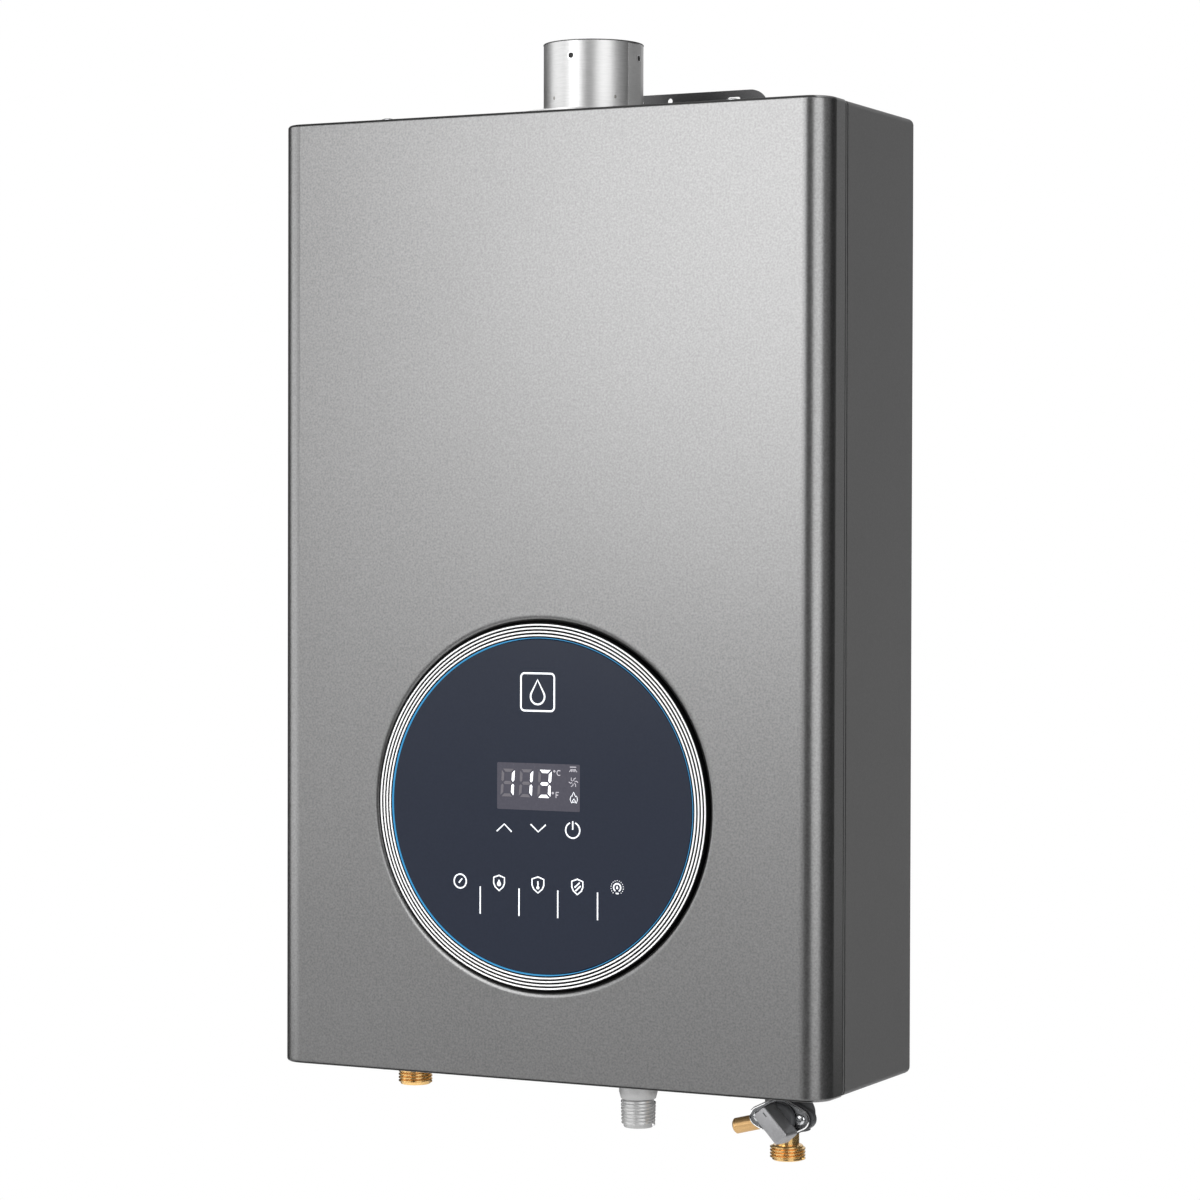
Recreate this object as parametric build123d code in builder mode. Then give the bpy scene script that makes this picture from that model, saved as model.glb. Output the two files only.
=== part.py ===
"""Wall-hung tankless gas water heater: casing, control panel, fan, exchanger, burner and water fittings."""

import os
from math import cos, radians, sin

from build123d import *

os.makedirs("parts", exist_ok=True)

# Driving dimensions in millimetres. The origin is midway between the two hanging holes, on the wall.

# Casing
case_width = 360
case_height = 570
case_depth = 140
wall_gap = 15
hang_rise = 12
sheet = 1
cover_depth = 28
cover_edge_radius = 15
rim_radius = 2
back_edge_radius = 8
seam_gap = 1.2
slip_gap = 0.3
lip_reach = 14
overrun = 5

# Fasteners: the cover's screws, small screws and rivets
cover_screw_x = 114
cover_screw_depth = 18
cover_screw_head_radius = 4.5
cover_screw_head_height = 2.8
cover_screw_radius = 2
cover_screw_length = 8
small_head_radius = 2.8
small_head_height = 1.8
small_screw_radius = 1.5
small_screw_length = 5
screw_gap = 0.2
rivet_head_radius = 4
rivet_head_height = 1.5
rivet_radius = 2

# Wall brackets
bracket_width = 152
bracket_plate = 2
bracket_bend = 4
bracket_corner = 11
bracket_top = 14
bracket_web_drop = 38
bracket_foot_drop = 72
bracket_hole_spacing = 100
bracket_hole_radius = 4.5
keyhole_radius = 7
keyhole_slot_radius = 3.5
keyhole_drop = 12
keyhole_rise = 11
pilot_spacing = 20
pilot_radius = 2
pilot_rise = 9.5
tie_slot_spacing = 106.8
tie_slot_width = 9.4
tie_slot_height = 3.4
tie_slot_rise = 8.4
rivet_spacing = 110
rivet_inset = 14
foot_tab_drop = 18
foot_hole_drop = 9

# Control panel: bezel, rings, glass and display
panel_height = 162
panel_radius = 108
panel_proud = 1.5
panel_gap = 0.6
panel_lip_bend = 4
panel_lip_run = 1.5
bezel_rim = 8.8
bezel_plate = 2.5
bezel_flange = 9
bezel_flange_thick = 2
bezel_pocket_inset = 4
glass_thick = 3.2
glass_setback = 0.3
light_ring_width = 1.2
ring_gap = 0.2
trim_ring_count = 4
trim_ring_width = 1.2
trim_ring_pitch = 2.05
trim_ring_inset = 1.5
trim_ring_depth = 1
trim_ring_proud = 0.3
lug_radius = 7
lug_reach = 14
stud_radius = 4
window_width = 57
window_height = 30
window_rise = 11.5
board_width = 130
board_height = 100
board_thick = 1.6
board_boss_radius = 4
board_boss_height = 5
board_boss_inset = 8

# Flue collar
flue_depth = 67
flue_radius = 30
flue_wall = 1
flue_rise = 46
flue_insert = 18
flue_flange_radius = 47
flue_flange_thick = 1.5
flue_gasket_thick = 2
flue_screw_reach = 39
flue_pin_hole_radius = 1.6
flue_pin_hole_drop = 9.5
flue_hole_gap = 1.5

# Exhaust fan and hood
scroll_radius = 46
scroll_step = 3.5
scroll_width = 62
outlet_gap = 0.4
outlet_drop = 8
wheel_radius = 42
wheel_width = 50
wheel_front_gap = 6
wheel_disc = 1.2
wheel_ring = 5
wheel_hub_radius = 8
wheel_hub_length = 26
blade_count = 24
blade_depth = 11
blade_thick = 1.2
blade_lean = 28
inlet_radius = 31
fan_shaft_radius = 2.5
fan_shaft_run_in = 18
fan_shaft_gap = 0.05
motor_radius = 27
motor_length = 24
motor_flange = 7
motor_flange_thick = 3
motor_boss_radius = 9
motor_boss_length = 4
fan_center_drop = 55
hood_height = 22
plenum_width = 96
plenum_depth = 34
plenum_rise = 44

# Heat exchanger
service_depth = 75
core_width = 200
core_depth = 88
core_corner = 8
core_wall = 1.2
burner_height = 70
chamber_height = 110
fin_height = 46
fin_groove_pitch = 9
fin_groove_width = 6
fin_groove_depth = 14
tube_radius = 7
fin_groove_rim = 6
fin_pass_count = 3
fin_pass_pitch = 28
coil_gap = 0.3
coil_rise = 24
coil_pitch = 36
coil_bend = 16
riser_shift = 11
riser_bend = 13
coil_tail = 30

# Burner, manifold and gas valve
burner_count = 8
burner_pitch = 24
burner_thick = 14
burner_top_gap = 24
burner_deck = 30
burner_throat_radius = 5
burner_throat_height = 24
burner_throat_wall = 1.5
burner_waist_share = 0.55
burner_foot = 9
port_count = 9
port_width = 2
port_depth = 4
port_length = 9
frame_bracket_width = 20
frame_bracket_x = 70
frame_bracket_foot = 18
manifold_height = 18
manifold_depth = 24
manifold_channel_radius = 5
manifold_drop = 18
manifold_ear = 2.5
nozzle_radius = 4
nozzle_tip_radius = 2.4
nozzle_seat = 6
nozzle_tip = 7
gas_x = 28
gas_thread_radius = 10.65
gas_thread_length = 17
gas_reach = 35
gas_taper_share = 0.03125
gas_cone_length = 4.6
gas_shoulder_radius = 11.7
gas_bore_radius = 7
gas_flange_size = 46
gas_flange_thick = 6
gas_flange_corner = 8
valve_width = 58
valve_depth = 52
valve_height = 86
valve_corner = 7
valve_chamber_radius = 11
valve_seat_radius = 6
valve_passage_radius = 8
plunger_radius = 4.9
plunger_gap = 0.1
plunger_disc = 3
plunger_disc_gap = 1
plunger_travel = 4
valve_seat_shift = 10
valve_outlet_shift = 18
coil_can_radius = 15
coil_can_length = 32
coil_can_end = 6
riser_flange_thick = 4
riser_flange_radius = 17
riser_radius = 11

# Water fittings and pipes
port_x = 126
thread_radius = 10.4775
thread_chamfer = 1
cold_thread_length = 9
cold_neck_radius = 6.8
cold_neck_length = 9
cold_bore_radius = 4.6
valve_barrel_radius = 13.5
valve_collar_radius = 18
valve_collar_thick = 3
valve_barrel_rise = 14
valve_barrel_drop = 29
cold_insert = 6
drain_drop = 18.5
drain_offset = 6.3
drain_boss_radius = 11.5
drain_boss_reach = 23
drain_chamber_radius = 7
drain_chamber_depth = 14
flange_ear_spacing = 27.4
flange_ear_radius = 6.1
flange_hub_radius = 12
flange_thick = 2
stem_radius = 4
stem_gap = 0.05
stem_length = 12
stem_seal_radius = 6.6
stem_seal_thick = 2
drain_port_radius = 2.5
flange_back = 5
knob_base_radius = 9.5
knob_base_thick = 4
knob_bar_length = 24
knob_bar_width = 11
knob_bar_depth = 16
knob_bar_shift = 3
knob_bar_angle = -45
knob_draft = 4
knob_gap = 0.3
knob_round = 2.5
knob_bore_depth = 3
spigot_radius = 4.65
spigot_bore_radius = 2.6
spigot_length = 28
spigot_drop = 2
spigot_tilt = 14.5
spigot_seat = 4
spigot_link = 6
spigot_forward = 13
spigot_chamfer = 1
hot_reach = 19.6
hot_thread_length = 14
hot_collar_radius = 14
hot_stub_rise = 22
nut_radius = 14
nut_thick = 6
pipe_insert = 10
pipe_gap = 0.3
sensor_radius = 14
sensor_length = 70
sensor_bore_radius = 9
sensor_bar = 3
sensor_bar_inset = 20
sensor_neck = 12
sensor_head_width = 22
sensor_head_height = 26
sensor_head_depth = 7
turbine_radius = 8.4
turbine_hub_radius = 2.6
turbine_shaft_radius = 1
turbine_gap = 0.05
turbine_end_gap = 0.3
turbine_blades = 6
turbine_blade_thick = 1
turbine_blade_twist = 40
pipe_bend = 22
pipe_offset_rise = 86
pipe_offset_run = 55

# Electrics
box_width = 76
box_height = 120
box_depth = 38
box_wall = 2
box_corner = 5
box_x = -74
box_rise = 46
lid_lip = 4
control_board_gap = 4
control_board_stand = 8
part_block_width = 24
part_block_height = 20
part_block_depth = 16
igniter_width = 42
igniter_height = 54
igniter_depth = 28
igniter_x = 88
igniter_rise = 96
igniter_stub_radius = 4
igniter_stub_length = 8
electrode_radius = 1.2
electrode_reach = 26
insulator_radius = 3.4
insulator_length = 24
insulator_collar_radius = 6
insulator_collar_thick = 3
electrode_spacing = 24
electrode_drop = 12
electrode_tail = 5
cutout_radius = 8
cutout_thick = 6
cutout_rise = 72
switch_radius = 21
switch_depth = 18
switch_x = 108
switch_drop = 40
switch_nipple_radius = 3
switch_nipple_length = 6
hose_radius = 3
hose_bend = 20
gland_x = -48
gland_hole_radius = 7.5
gland_bore_radius = 4
gland_flange = 3
gland_flange_thick = 2.5
vent_count = 6
vent_length = 34
vent_width = 4
vent_pitch = 9
vent_x = -84
vent_depth = 38
fitting_gap = 0.4

# Planes and levels worked out from the sizes above
front_y = -(wall_gap + case_depth)
back_y = -wall_gap
back_inner_y = back_y - sheet
top_z = -hang_rise
bottom_z = top_z - case_height
mid_z = (top_z + bottom_z) / 2
inner_bottom_z = bottom_z + sheet
seam_y = front_y + cover_depth
pan_front_y = seam_y + seam_gap
pan_depth = back_y - pan_front_y
cover_screw_y = front_y + cover_screw_depth
core_y = front_y + service_depth
flue_y = front_y + flue_depth
panel_z = bottom_z + panel_height
panel_axis = Axis((0, 0, panel_z), (0, 1, 0))


def facing(y):
    """Sketch plane at depth y that looks to the front, with X to the right and Z up."""
    return Plane.XZ.offset(-y)


def level(z):
    """Sketch plane at height z that looks up."""
    return Plane.XY.offset(z)


def across(x):
    """Sketch plane at x that looks to the right, with Y to the right and Z up."""
    return Plane.YZ.offset(x)


def pan_screw(head_radius, head_height, shank_radius, shank_length):
    """A screw along Z with a domed head above the origin and its shank below."""
    with BuildPart() as screw:
        with BuildSketch(Plane.XZ):
            with BuildLine():
                Polyline((0, head_height), (0, -shank_length), (shank_radius, -shank_length))
                Polyline((shank_radius, -shank_length), (shank_radius, 0), (head_radius, 0))
                Line((head_radius, 0), (head_radius, head_height / 3))
                TangentArc((0, head_height), (head_radius, head_height / 3), tangent=(1, 0))
            make_face()
        revolve(axis=Axis.Z)
    return screw.part


def write(piece, name):
    """Label a finished piece and write it as a file of its own."""
    piece.part.label = name
    export_step(piece.part, f"parts/{name}.step")


cover_screw = pan_screw(
    cover_screw_head_radius, cover_screw_head_height, cover_screw_radius, cover_screw_length
)
small_screw = pan_screw(
    small_head_radius, small_head_height, small_screw_radius, small_screw_length
)

# Front cover: a drawn steel shell with a rolled lip round the control panel
lip_hole_radius = panel_radius + panel_gap
lip_back_y = front_y + panel_lip_bend + panel_lip_run
flange_front_y = lip_back_y + slip_gap
flange_back_y = flange_front_y + bezel_flange_thick
lug_circle = panel_radius + lug_reach
with BuildPart() as front_cover:
    with BuildSketch(facing(seam_y)):
        with Locations((0, mid_z)):
            Rectangle(case_width, case_height)
    extrude(amount=cover_depth)
    fillet(front_cover.edges().filter_by(Axis.Z).group_by(Axis.Y)[0], cover_edge_radius)
    open_edges = front_cover.faces().sort_by(Axis.Y)[-1].edges()
    fillet(front_cover.faces().filter_by(Axis.Z).edges() - open_edges, rim_radius)
    offset(amount=-sheet, openings=front_cover.faces().sort_by(Axis.Y)[-1])
    with BuildSketch(facing(front_y)):
        with Locations((0, panel_z)):
            Circle(lip_hole_radius + panel_lip_bend)
    extrude(amount=-(sheet + overrun), mode=Mode.SUBTRACT)
    with BuildSketch(Plane.YZ):
        bend_y = front_y + panel_lip_bend
        bend_z = panel_z + lip_hole_radius + panel_lip_bend
        lip_z = panel_z + lip_hole_radius
        with BuildLine():
            CenterArc((bend_y, bend_z), panel_lip_bend, 180, 90)
            Polyline(
                (bend_y, lip_z), (lip_back_y, lip_z), (lip_back_y, lip_z + sheet), (bend_y, lip_z + sheet)
            )
            CenterArc((bend_y, bend_z), panel_lip_bend - sheet, 180, 90)
            Line((front_y + sheet, bend_z), (front_y, bend_z))
        make_face()
    revolve(axis=panel_axis)
    with BuildSketch(facing(front_y + sheet)):
        with Locations((0, panel_z)):
            with PolarLocations(lug_circle, 4, start_angle=45):
                Circle(stud_radius)
                Circle(small_screw_radius + screw_gap, mode=Mode.SUBTRACT)
    extrude(amount=front_y + sheet - flange_front_y)
    with BuildSketch(level(top_z)):
        with Locations((-cover_screw_x, cover_screw_y), (cover_screw_x, cover_screw_y)):
            Circle(cover_screw_radius + screw_gap)
    extrude(amount=-case_height, mode=Mode.SUBTRACT)
write(front_cover, "front_cover")

# Back case: a drawn steel pan whose joggled lip slips under the cover's edge
lip_width = case_width - 2 * (sheet + slip_gap)
lip_height = case_height - 2 * (sheet + slip_gap)
upper_rivet_z = -bracket_foot_drop + rivet_inset
lower_rivet_z = bottom_z + bracket_foot_drop - foot_tab_drop - rivet_inset
cold_hole_radius = valve_barrel_radius + fitting_gap
hot_hole_radius = thread_radius + fitting_gap
gas_hole_radius = gas_shoulder_radius + fitting_gap
with BuildPart() as back_case:
    with BuildSketch(facing(back_y)):
        with Locations((0, mid_z)):
            Rectangle(case_width, case_height)
    extrude(amount=pan_depth)
    fillet(back_case.faces().sort_by(Axis.Y)[-1].edges(), back_edge_radius)
    offset(amount=-sheet, openings=back_case.faces().sort_by(Axis.Y)[0])
    with BuildSketch(facing(pan_front_y + sheet)):
        with Locations((0, mid_z)):
            Rectangle(case_width, case_height)
            RectangleRounded(lip_width - 2 * sheet, lip_height - 2 * sheet, rim_radius, mode=Mode.SUBTRACT)
    extrude(amount=sheet)
    with BuildSketch(facing(pan_front_y)):
        with Locations((0, mid_z)):
            RectangleRounded(lip_width, lip_height, rim_radius)
            RectangleRounded(lip_width - 2 * sheet, lip_height - 2 * sheet, rim_radius, mode=Mode.SUBTRACT)
    extrude(amount=seam_gap + lip_reach)
    with BuildSketch(level(top_z)):
        with Locations((0, flue_y)):
            Circle(flue_radius + flue_hole_gap)
            with PolarLocations(flue_screw_reach, 4, start_angle=45):
                Circle(small_screw_radius + screw_gap)
    extrude(amount=-(sheet + overrun), mode=Mode.SUBTRACT)
    with BuildSketch(level(top_z)):
        with Locations((-cover_screw_x, cover_screw_y), (cover_screw_x, cover_screw_y)):
            Circle(cover_screw_radius + screw_gap)
    extrude(amount=-case_height, mode=Mode.SUBTRACT)
    with BuildSketch(level(bottom_z)):
        with Locations((port_x, core_y)):
            Circle(cold_hole_radius)
        with Locations((-port_x, core_y)):
            Circle(hot_hole_radius)
        with Locations((gas_x, core_y)):
            Circle(gas_hole_radius)
        with Locations((gland_x, core_y)):
            Circle(gland_hole_radius)
        for side in (-1, 1):
            with Locations((side * vent_x, front_y + vent_depth + (vent_count - 1) * vent_pitch / 2)):
                with GridLocations(0, vent_pitch, 1, vent_count):
                    SlotOverall(vent_length, vent_width)
    extrude(amount=sheet + overrun, mode=Mode.SUBTRACT)
    with BuildSketch(facing(back_y)):
        for rivet_z in (upper_rivet_z, lower_rivet_z):
            with Locations((-rivet_spacing / 2, rivet_z), (rivet_spacing / 2, rivet_z)):
                Circle(rivet_radius + screw_gap)
    extrude(amount=sheet + overrun, mode=Mode.SUBTRACT)
write(back_case, "back_case")

# Cover screws: two in the top flange and two in the bottom flange
with BuildPart() as cover_screws:
    for screw_x in (-cover_screw_x, cover_screw_x):
        with Locations(Plane((screw_x, cover_screw_y, top_z), z_dir=(0, 0, 1))):
            add(cover_screw)
        with Locations(Plane((screw_x, cover_screw_y, bottom_z), z_dir=(0, 0, -1))):
            add(cover_screw)
write(cover_screws, "cover_screws")


def bent_plate(wall_tip_z, web_z, foot_tip_z, bend_side):
    """Side profile of a wall bracket: a leg on the wall, a web and a foot on the case."""
    foot_y = back_y + bracket_plate
    with BuildLine() as profile:
        FilletPolyline(
            (0, wall_tip_z), (0, web_z), (foot_y, web_z), (foot_y, foot_tip_z), radius=bracket_bend
        )
        offset(amount=bracket_plate, side=bend_side)
    return profile.edges()


# Wall bracket: the upper hanger, with a keyhole between its two bolt holes and tie slots above them
with BuildPart() as wall_bracket:
    with BuildSketch(across(-bracket_width / 2)):
        make_face(bent_plate(bracket_top, -bracket_web_drop, -bracket_foot_drop, Side.RIGHT))
    extrude(amount=bracket_width)
    fillet(wall_bracket.edges().filter_by(Axis.Y).group_by(Axis.Z)[-1], bracket_corner)
    with BuildSketch(facing(0)):
        with GridLocations(bracket_hole_spacing, 0, 2, 1):
            Circle(bracket_hole_radius)
        with Locations((0, pilot_rise)):
            with GridLocations(pilot_spacing, 0, 2, 1):
                Circle(pilot_radius)
        with Locations((0, tie_slot_rise)):
            with GridLocations(tie_slot_spacing, 0, 2, 1):
                SlotOverall(tie_slot_width, tie_slot_height)
        with Locations((0, -keyhole_drop)):
            Circle(keyhole_radius)
        with Locations((0, -keyhole_drop + keyhole_rise / 2)):
            SlotCenterToCenter(keyhole_rise, keyhole_slot_radius * 2, rotation=90)
    extrude(amount=bracket_plate + overrun, mode=Mode.SUBTRACT)
    with BuildSketch(facing(back_y + bracket_plate)):
        with Locations((0, upper_rivet_z)):
            with GridLocations(rivet_spacing, 0, 2, 1):
                Circle(rivet_radius + screw_gap)
    extrude(amount=bracket_plate, mode=Mode.SUBTRACT)
write(wall_bracket, "wall_bracket")

# Lower bracket: stands the foot of the case off the wall, with its tab below the case
with BuildPart() as lower_bracket:
    with BuildSketch(across(-bracket_width / 2)):
        lower_web_z = bottom_z + bracket_web_drop - foot_tab_drop
        lower_foot_z = bottom_z + bracket_foot_drop - foot_tab_drop
        make_face(bent_plate(bottom_z - foot_tab_drop, lower_web_z, lower_foot_z, Side.LEFT))
    extrude(amount=bracket_width)
    fillet(lower_bracket.edges().filter_by(Axis.Y).group_by(Axis.Z)[0], bracket_corner)
    with BuildSketch(facing(0)):
        with Locations((0, bottom_z - foot_hole_drop)):
            with GridLocations(bracket_hole_spacing, 0, 2, 1):
                Circle(bracket_hole_radius)
    extrude(amount=bracket_plate + overrun, mode=Mode.SUBTRACT)
    with BuildSketch(facing(back_y + bracket_plate)):
        with Locations((0, lower_rivet_z)):
            with GridLocations(rivet_spacing, 0, 2, 1):
                Circle(rivet_radius + screw_gap)
    extrude(amount=bracket_plate, mode=Mode.SUBTRACT)
write(lower_bracket, "lower_bracket")

# Bracket rivets: through each bracket's foot and the back of the case
rivet = pan_screw(rivet_head_radius, rivet_head_height, rivet_radius, bracket_plate + sheet)
with BuildPart() as bracket_rivets:
    for rivet_z in (upper_rivet_z, lower_rivet_z):
        for rivet_x in (-rivet_spacing / 2, rivet_spacing / 2):
            rivet_place = (rivet_x, back_y + bracket_plate, rivet_z)
            with Locations(Plane(rivet_place, x_dir=(1, 0, 0), z_dir=(0, 1, 0))):
                add(rivet)
write(bracket_rivets, "bracket_rivets")

# Panel bezel: a moulded dish that fills the cover's lip, with its flange behind the lip
panel_front_y = front_y - panel_proud
recess_radius = panel_radius - bezel_rim
recess_floor_y = panel_front_y + glass_setback + glass_thick
plate_back_y = recess_floor_y + bezel_plate
flange_radius = panel_radius + bezel_flange
pocket_radius = panel_radius - bezel_pocket_inset
board_front_y = plate_back_y + board_boss_height
first_ring_radius = recess_radius + trim_ring_inset
board_boss_x = board_width / 2 - board_boss_inset
board_boss_z = board_height / 2 - board_boss_inset


def ring_rows():
    """Middle radius of each trim ring, from the inside out."""
    return [first_ring_radius + row * trim_ring_pitch for row in range(trim_ring_count)]


with BuildPart() as panel_bezel:
    with BuildSketch(Plane.YZ):
        with Locations((0, panel_z)):
            Polygon(
                (panel_front_y, recess_radius),
                (recess_floor_y, recess_radius),
                (recess_floor_y, 0),
                (plate_back_y, 0),
                (plate_back_y, pocket_radius),
                (flange_back_y, pocket_radius),
                (flange_back_y, flange_radius),
                (flange_front_y, flange_radius),
                (flange_front_y, panel_radius),
                (panel_front_y, panel_radius),
                align=None,
            )
            for row_radius in ring_rows():
                with Locations((panel_front_y, row_radius)):
                    Rectangle(2 * trim_ring_depth, trim_ring_width, mode=Mode.SUBTRACT)
    revolve(axis=panel_axis)
    with BuildSketch(facing(flange_back_y)):
        with Locations((0, panel_z)):
            with PolarLocations(lug_circle, 4, start_angle=45):
                SlotOverall(lug_reach + 2 * lug_radius, 2 * lug_radius)
            Circle(pocket_radius, mode=Mode.SUBTRACT)
    extrude(amount=bezel_flange_thick)
    with BuildSketch(facing(flange_back_y)):
        with Locations((0, panel_z)):
            with PolarLocations(lug_circle, 4, start_angle=45):
                Circle(small_screw_radius + screw_gap)
    extrude(amount=bezel_flange_thick, mode=Mode.SUBTRACT)
    with BuildSketch(facing(board_front_y)):
        with Locations((0, panel_z)):
            with GridLocations(2 * board_boss_x, 2 * board_boss_z, 2, 2):
                Circle(board_boss_radius)
                Circle(small_screw_radius + screw_gap, mode=Mode.SUBTRACT)
    extrude(amount=board_boss_height)
    with BuildSketch(facing(plate_back_y)):
        with Locations((0, panel_z + window_rise)):
            Rectangle(window_width, window_height)
    extrude(amount=bezel_plate, mode=Mode.SUBTRACT)
write(panel_bezel, "panel_bezel")

# Trim rings: four plated rings pressed into the bezel's rim
with BuildPart() as trim_rings:
    with BuildSketch(Plane.YZ):
        for row_radius in ring_rows():
            ring_middle_y = panel_front_y + (trim_ring_depth - trim_ring_proud) / 2
            with Locations((ring_middle_y, panel_z + row_radius)):
                Rectangle(trim_ring_depth + trim_ring_proud, trim_ring_width)
    revolve(axis=panel_axis)
write(trim_rings, "trim_rings")

# Light ring: a blue light guide between the glass and the rim
ring_outer_radius = recess_radius - ring_gap
ring_inner_radius = ring_outer_radius - light_ring_width
with BuildPart() as light_ring:
    with BuildSketch(facing(recess_floor_y)):
        with Locations((0, panel_z)):
            Circle(ring_outer_radius)
            Circle(ring_inner_radius, mode=Mode.SUBTRACT)
    extrude(amount=glass_thick + glass_setback)
write(light_ring, "light_ring")

# Panel glass: the dark touch glass in front of the display
with BuildPart() as panel_glass:
    with BuildSketch(facing(recess_floor_y)):
        with Locations((0, panel_z)):
            Circle(ring_inner_radius - ring_gap)
    extrude(amount=glass_thick)
    chamfer(panel_glass.edges().group_by(Axis.Y)[0], glass_setback)
write(panel_glass, "panel_glass")

# Display module: the digit block, standing on its board behind the glass
with BuildPart() as display_module:
    with BuildSketch(facing(board_front_y)):
        with Locations((0, panel_z + window_rise)):
            Rectangle(window_width - 2 * slip_gap, window_height - 2 * slip_gap)
    extrude(amount=board_front_y - recess_floor_y - slip_gap)
write(display_module, "display_module")

# Display board: carries the digit block and the touch pads, on the bezel's bosses
with BuildPart() as display_board:
    with BuildSketch(facing(board_front_y + board_thick)):
        with Locations((0, panel_z)):
            RectangleRounded(board_width, board_height, board_boss_radius)
            with GridLocations(2 * board_boss_x, 2 * board_boss_z, 2, 2):
                Circle(small_screw_radius + screw_gap, mode=Mode.SUBTRACT)
    extrude(amount=board_thick)
write(display_board, "display_board")

# Panel screws: four through the bezel's lugs and four through the board
with BuildPart() as panel_screws:
    with Locations(Plane((0, flange_back_y, panel_z), x_dir=(1, 0, 0), z_dir=(0, 1, 0))):
        with PolarLocations(lug_circle, 4, start_angle=45):
            add(small_screw)
    with Locations(Plane((0, board_front_y + board_thick, panel_z), x_dir=(1, 0, 0), z_dir=(0, 1, 0))):
        with GridLocations(2 * board_boss_x, 2 * board_boss_z, 2, 2):
            add(small_screw)
write(panel_screws, "panel_screws")

# Flue collar: a stainless tube with a flange on the case top and four pin holes under its rim
flange_seat_z = top_z + flue_gasket_thick
flue_top_z = top_z + flue_rise
with BuildPart() as flue_collar:
    with BuildSketch(level(top_z - flue_insert)):
        with Locations((0, flue_y)):
            Circle(flue_radius)
    extrude(amount=flue_insert + flue_rise)
    with BuildSketch(level(flange_seat_z)):
        with Locations((0, flue_y)):
            Circle(flue_flange_radius)
            with PolarLocations(flue_screw_reach, 4, start_angle=45):
                Circle(small_screw_radius + screw_gap, mode=Mode.SUBTRACT)
    extrude(amount=flue_flange_thick)
    with BuildSketch(level(top_z - flue_insert)):
        with Locations((0, flue_y)):
            Circle(flue_radius - flue_wall)
    extrude(amount=flue_insert + flue_rise, mode=Mode.SUBTRACT)
    pin_hole_z = flue_top_z - flue_pin_hole_drop
    for hole_plane in (across(-flue_radius - overrun), facing(flue_y + flue_radius + overrun)):
        with BuildSketch(hole_plane):
            with Locations((flue_y if hole_plane.z_dir.X else 0, pin_hole_z)):
                Circle(flue_pin_hole_radius)
        extrude(amount=2 * (flue_radius + overrun), mode=Mode.SUBTRACT)
write(flue_collar, "flue_collar")

# Flue gasket: a silicone ring under the collar's flange
with BuildPart() as flue_gasket:
    with BuildSketch(level(top_z)):
        with Locations((0, flue_y)):
            Circle(flue_flange_radius)
            Circle(flue_radius + flue_hole_gap, mode=Mode.SUBTRACT)
            with PolarLocations(flue_screw_reach, 4, start_angle=45):
                Circle(small_screw_radius + screw_gap, mode=Mode.SUBTRACT)
    extrude(amount=flue_gasket_thick)
write(flue_gasket, "flue_gasket")

# Flue screws: four through the flange and the gasket into the case top
with BuildPart() as flue_screws:
    with Locations((0, flue_y, flange_seat_z + flue_flange_thick)):
        with PolarLocations(flue_screw_reach, 4, start_angle=45):
            add(small_screw)
write(flue_screws, "flue_screws")

# Fan housing: a scroll of sheet steel, opened behind for its inlet and above for the collar
outlet_top_z = top_z - sheet - outlet_drop
outlet_width = 2 * (flue_radius + outlet_gap)
fan_z = outlet_top_z - fan_center_drop
fan_x = outlet_width / 2 - scroll_radius - 3 * scroll_step
volute_front_y = flue_y - scroll_width / 2 - sheet
volute_back_y = flue_y + scroll_width / 2 + sheet


def scroll_face(margin):
    """Face of the scroll, its radius growing by one step each quarter turn, with the outlet above it."""
    with BuildSketch() as face:
        step = scroll_step
        first = scroll_radius + margin
        with BuildLine():
            CenterArc((fan_x, fan_z), first, 90, 90)
            CenterArc((fan_x + step, fan_z), first + step, 180, 90)
            CenterArc((fan_x + step, fan_z + step), first + 2 * step, 270, 90)
            Polyline(
                (fan_x + first + 3 * step, fan_z + step), (fan_x, fan_z + step), (fan_x, fan_z + first)
            )
        make_face()
        with Locations((0, (fan_z + outlet_top_z) / 2)):
            Rectangle(outlet_width + 2 * margin, outlet_top_z - fan_z)
    return face.sketch


with BuildPart() as fan_housing:
    with BuildSketch(facing(volute_back_y)):
        add(scroll_face(sheet))
    extrude(amount=scroll_width + 2 * sheet)
    with BuildSketch(facing(volute_back_y - sheet)):
        add(scroll_face(0))
        with Locations((0, outlet_top_z)):
            Rectangle(outlet_width, 2 * sheet, mode=Mode.SUBTRACT)
    extrude(amount=scroll_width, mode=Mode.SUBTRACT)
    with BuildSketch(level(outlet_top_z)):
        with Locations((0, flue_y)):
            Circle(flue_radius + outlet_gap / 2)
    extrude(amount=-(sheet + overrun), mode=Mode.SUBTRACT)
    with BuildSketch(facing(volute_back_y)):
        with Locations((fan_x, fan_z)):
            Circle(inlet_radius)
    extrude(amount=sheet, mode=Mode.SUBTRACT)
    with BuildSketch(facing(volute_front_y + sheet)):
        with Locations((fan_x, fan_z)):
            Circle(motor_boss_radius)
    extrude(amount=sheet, mode=Mode.SUBTRACT)
write(fan_housing, "fan_housing")

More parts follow.
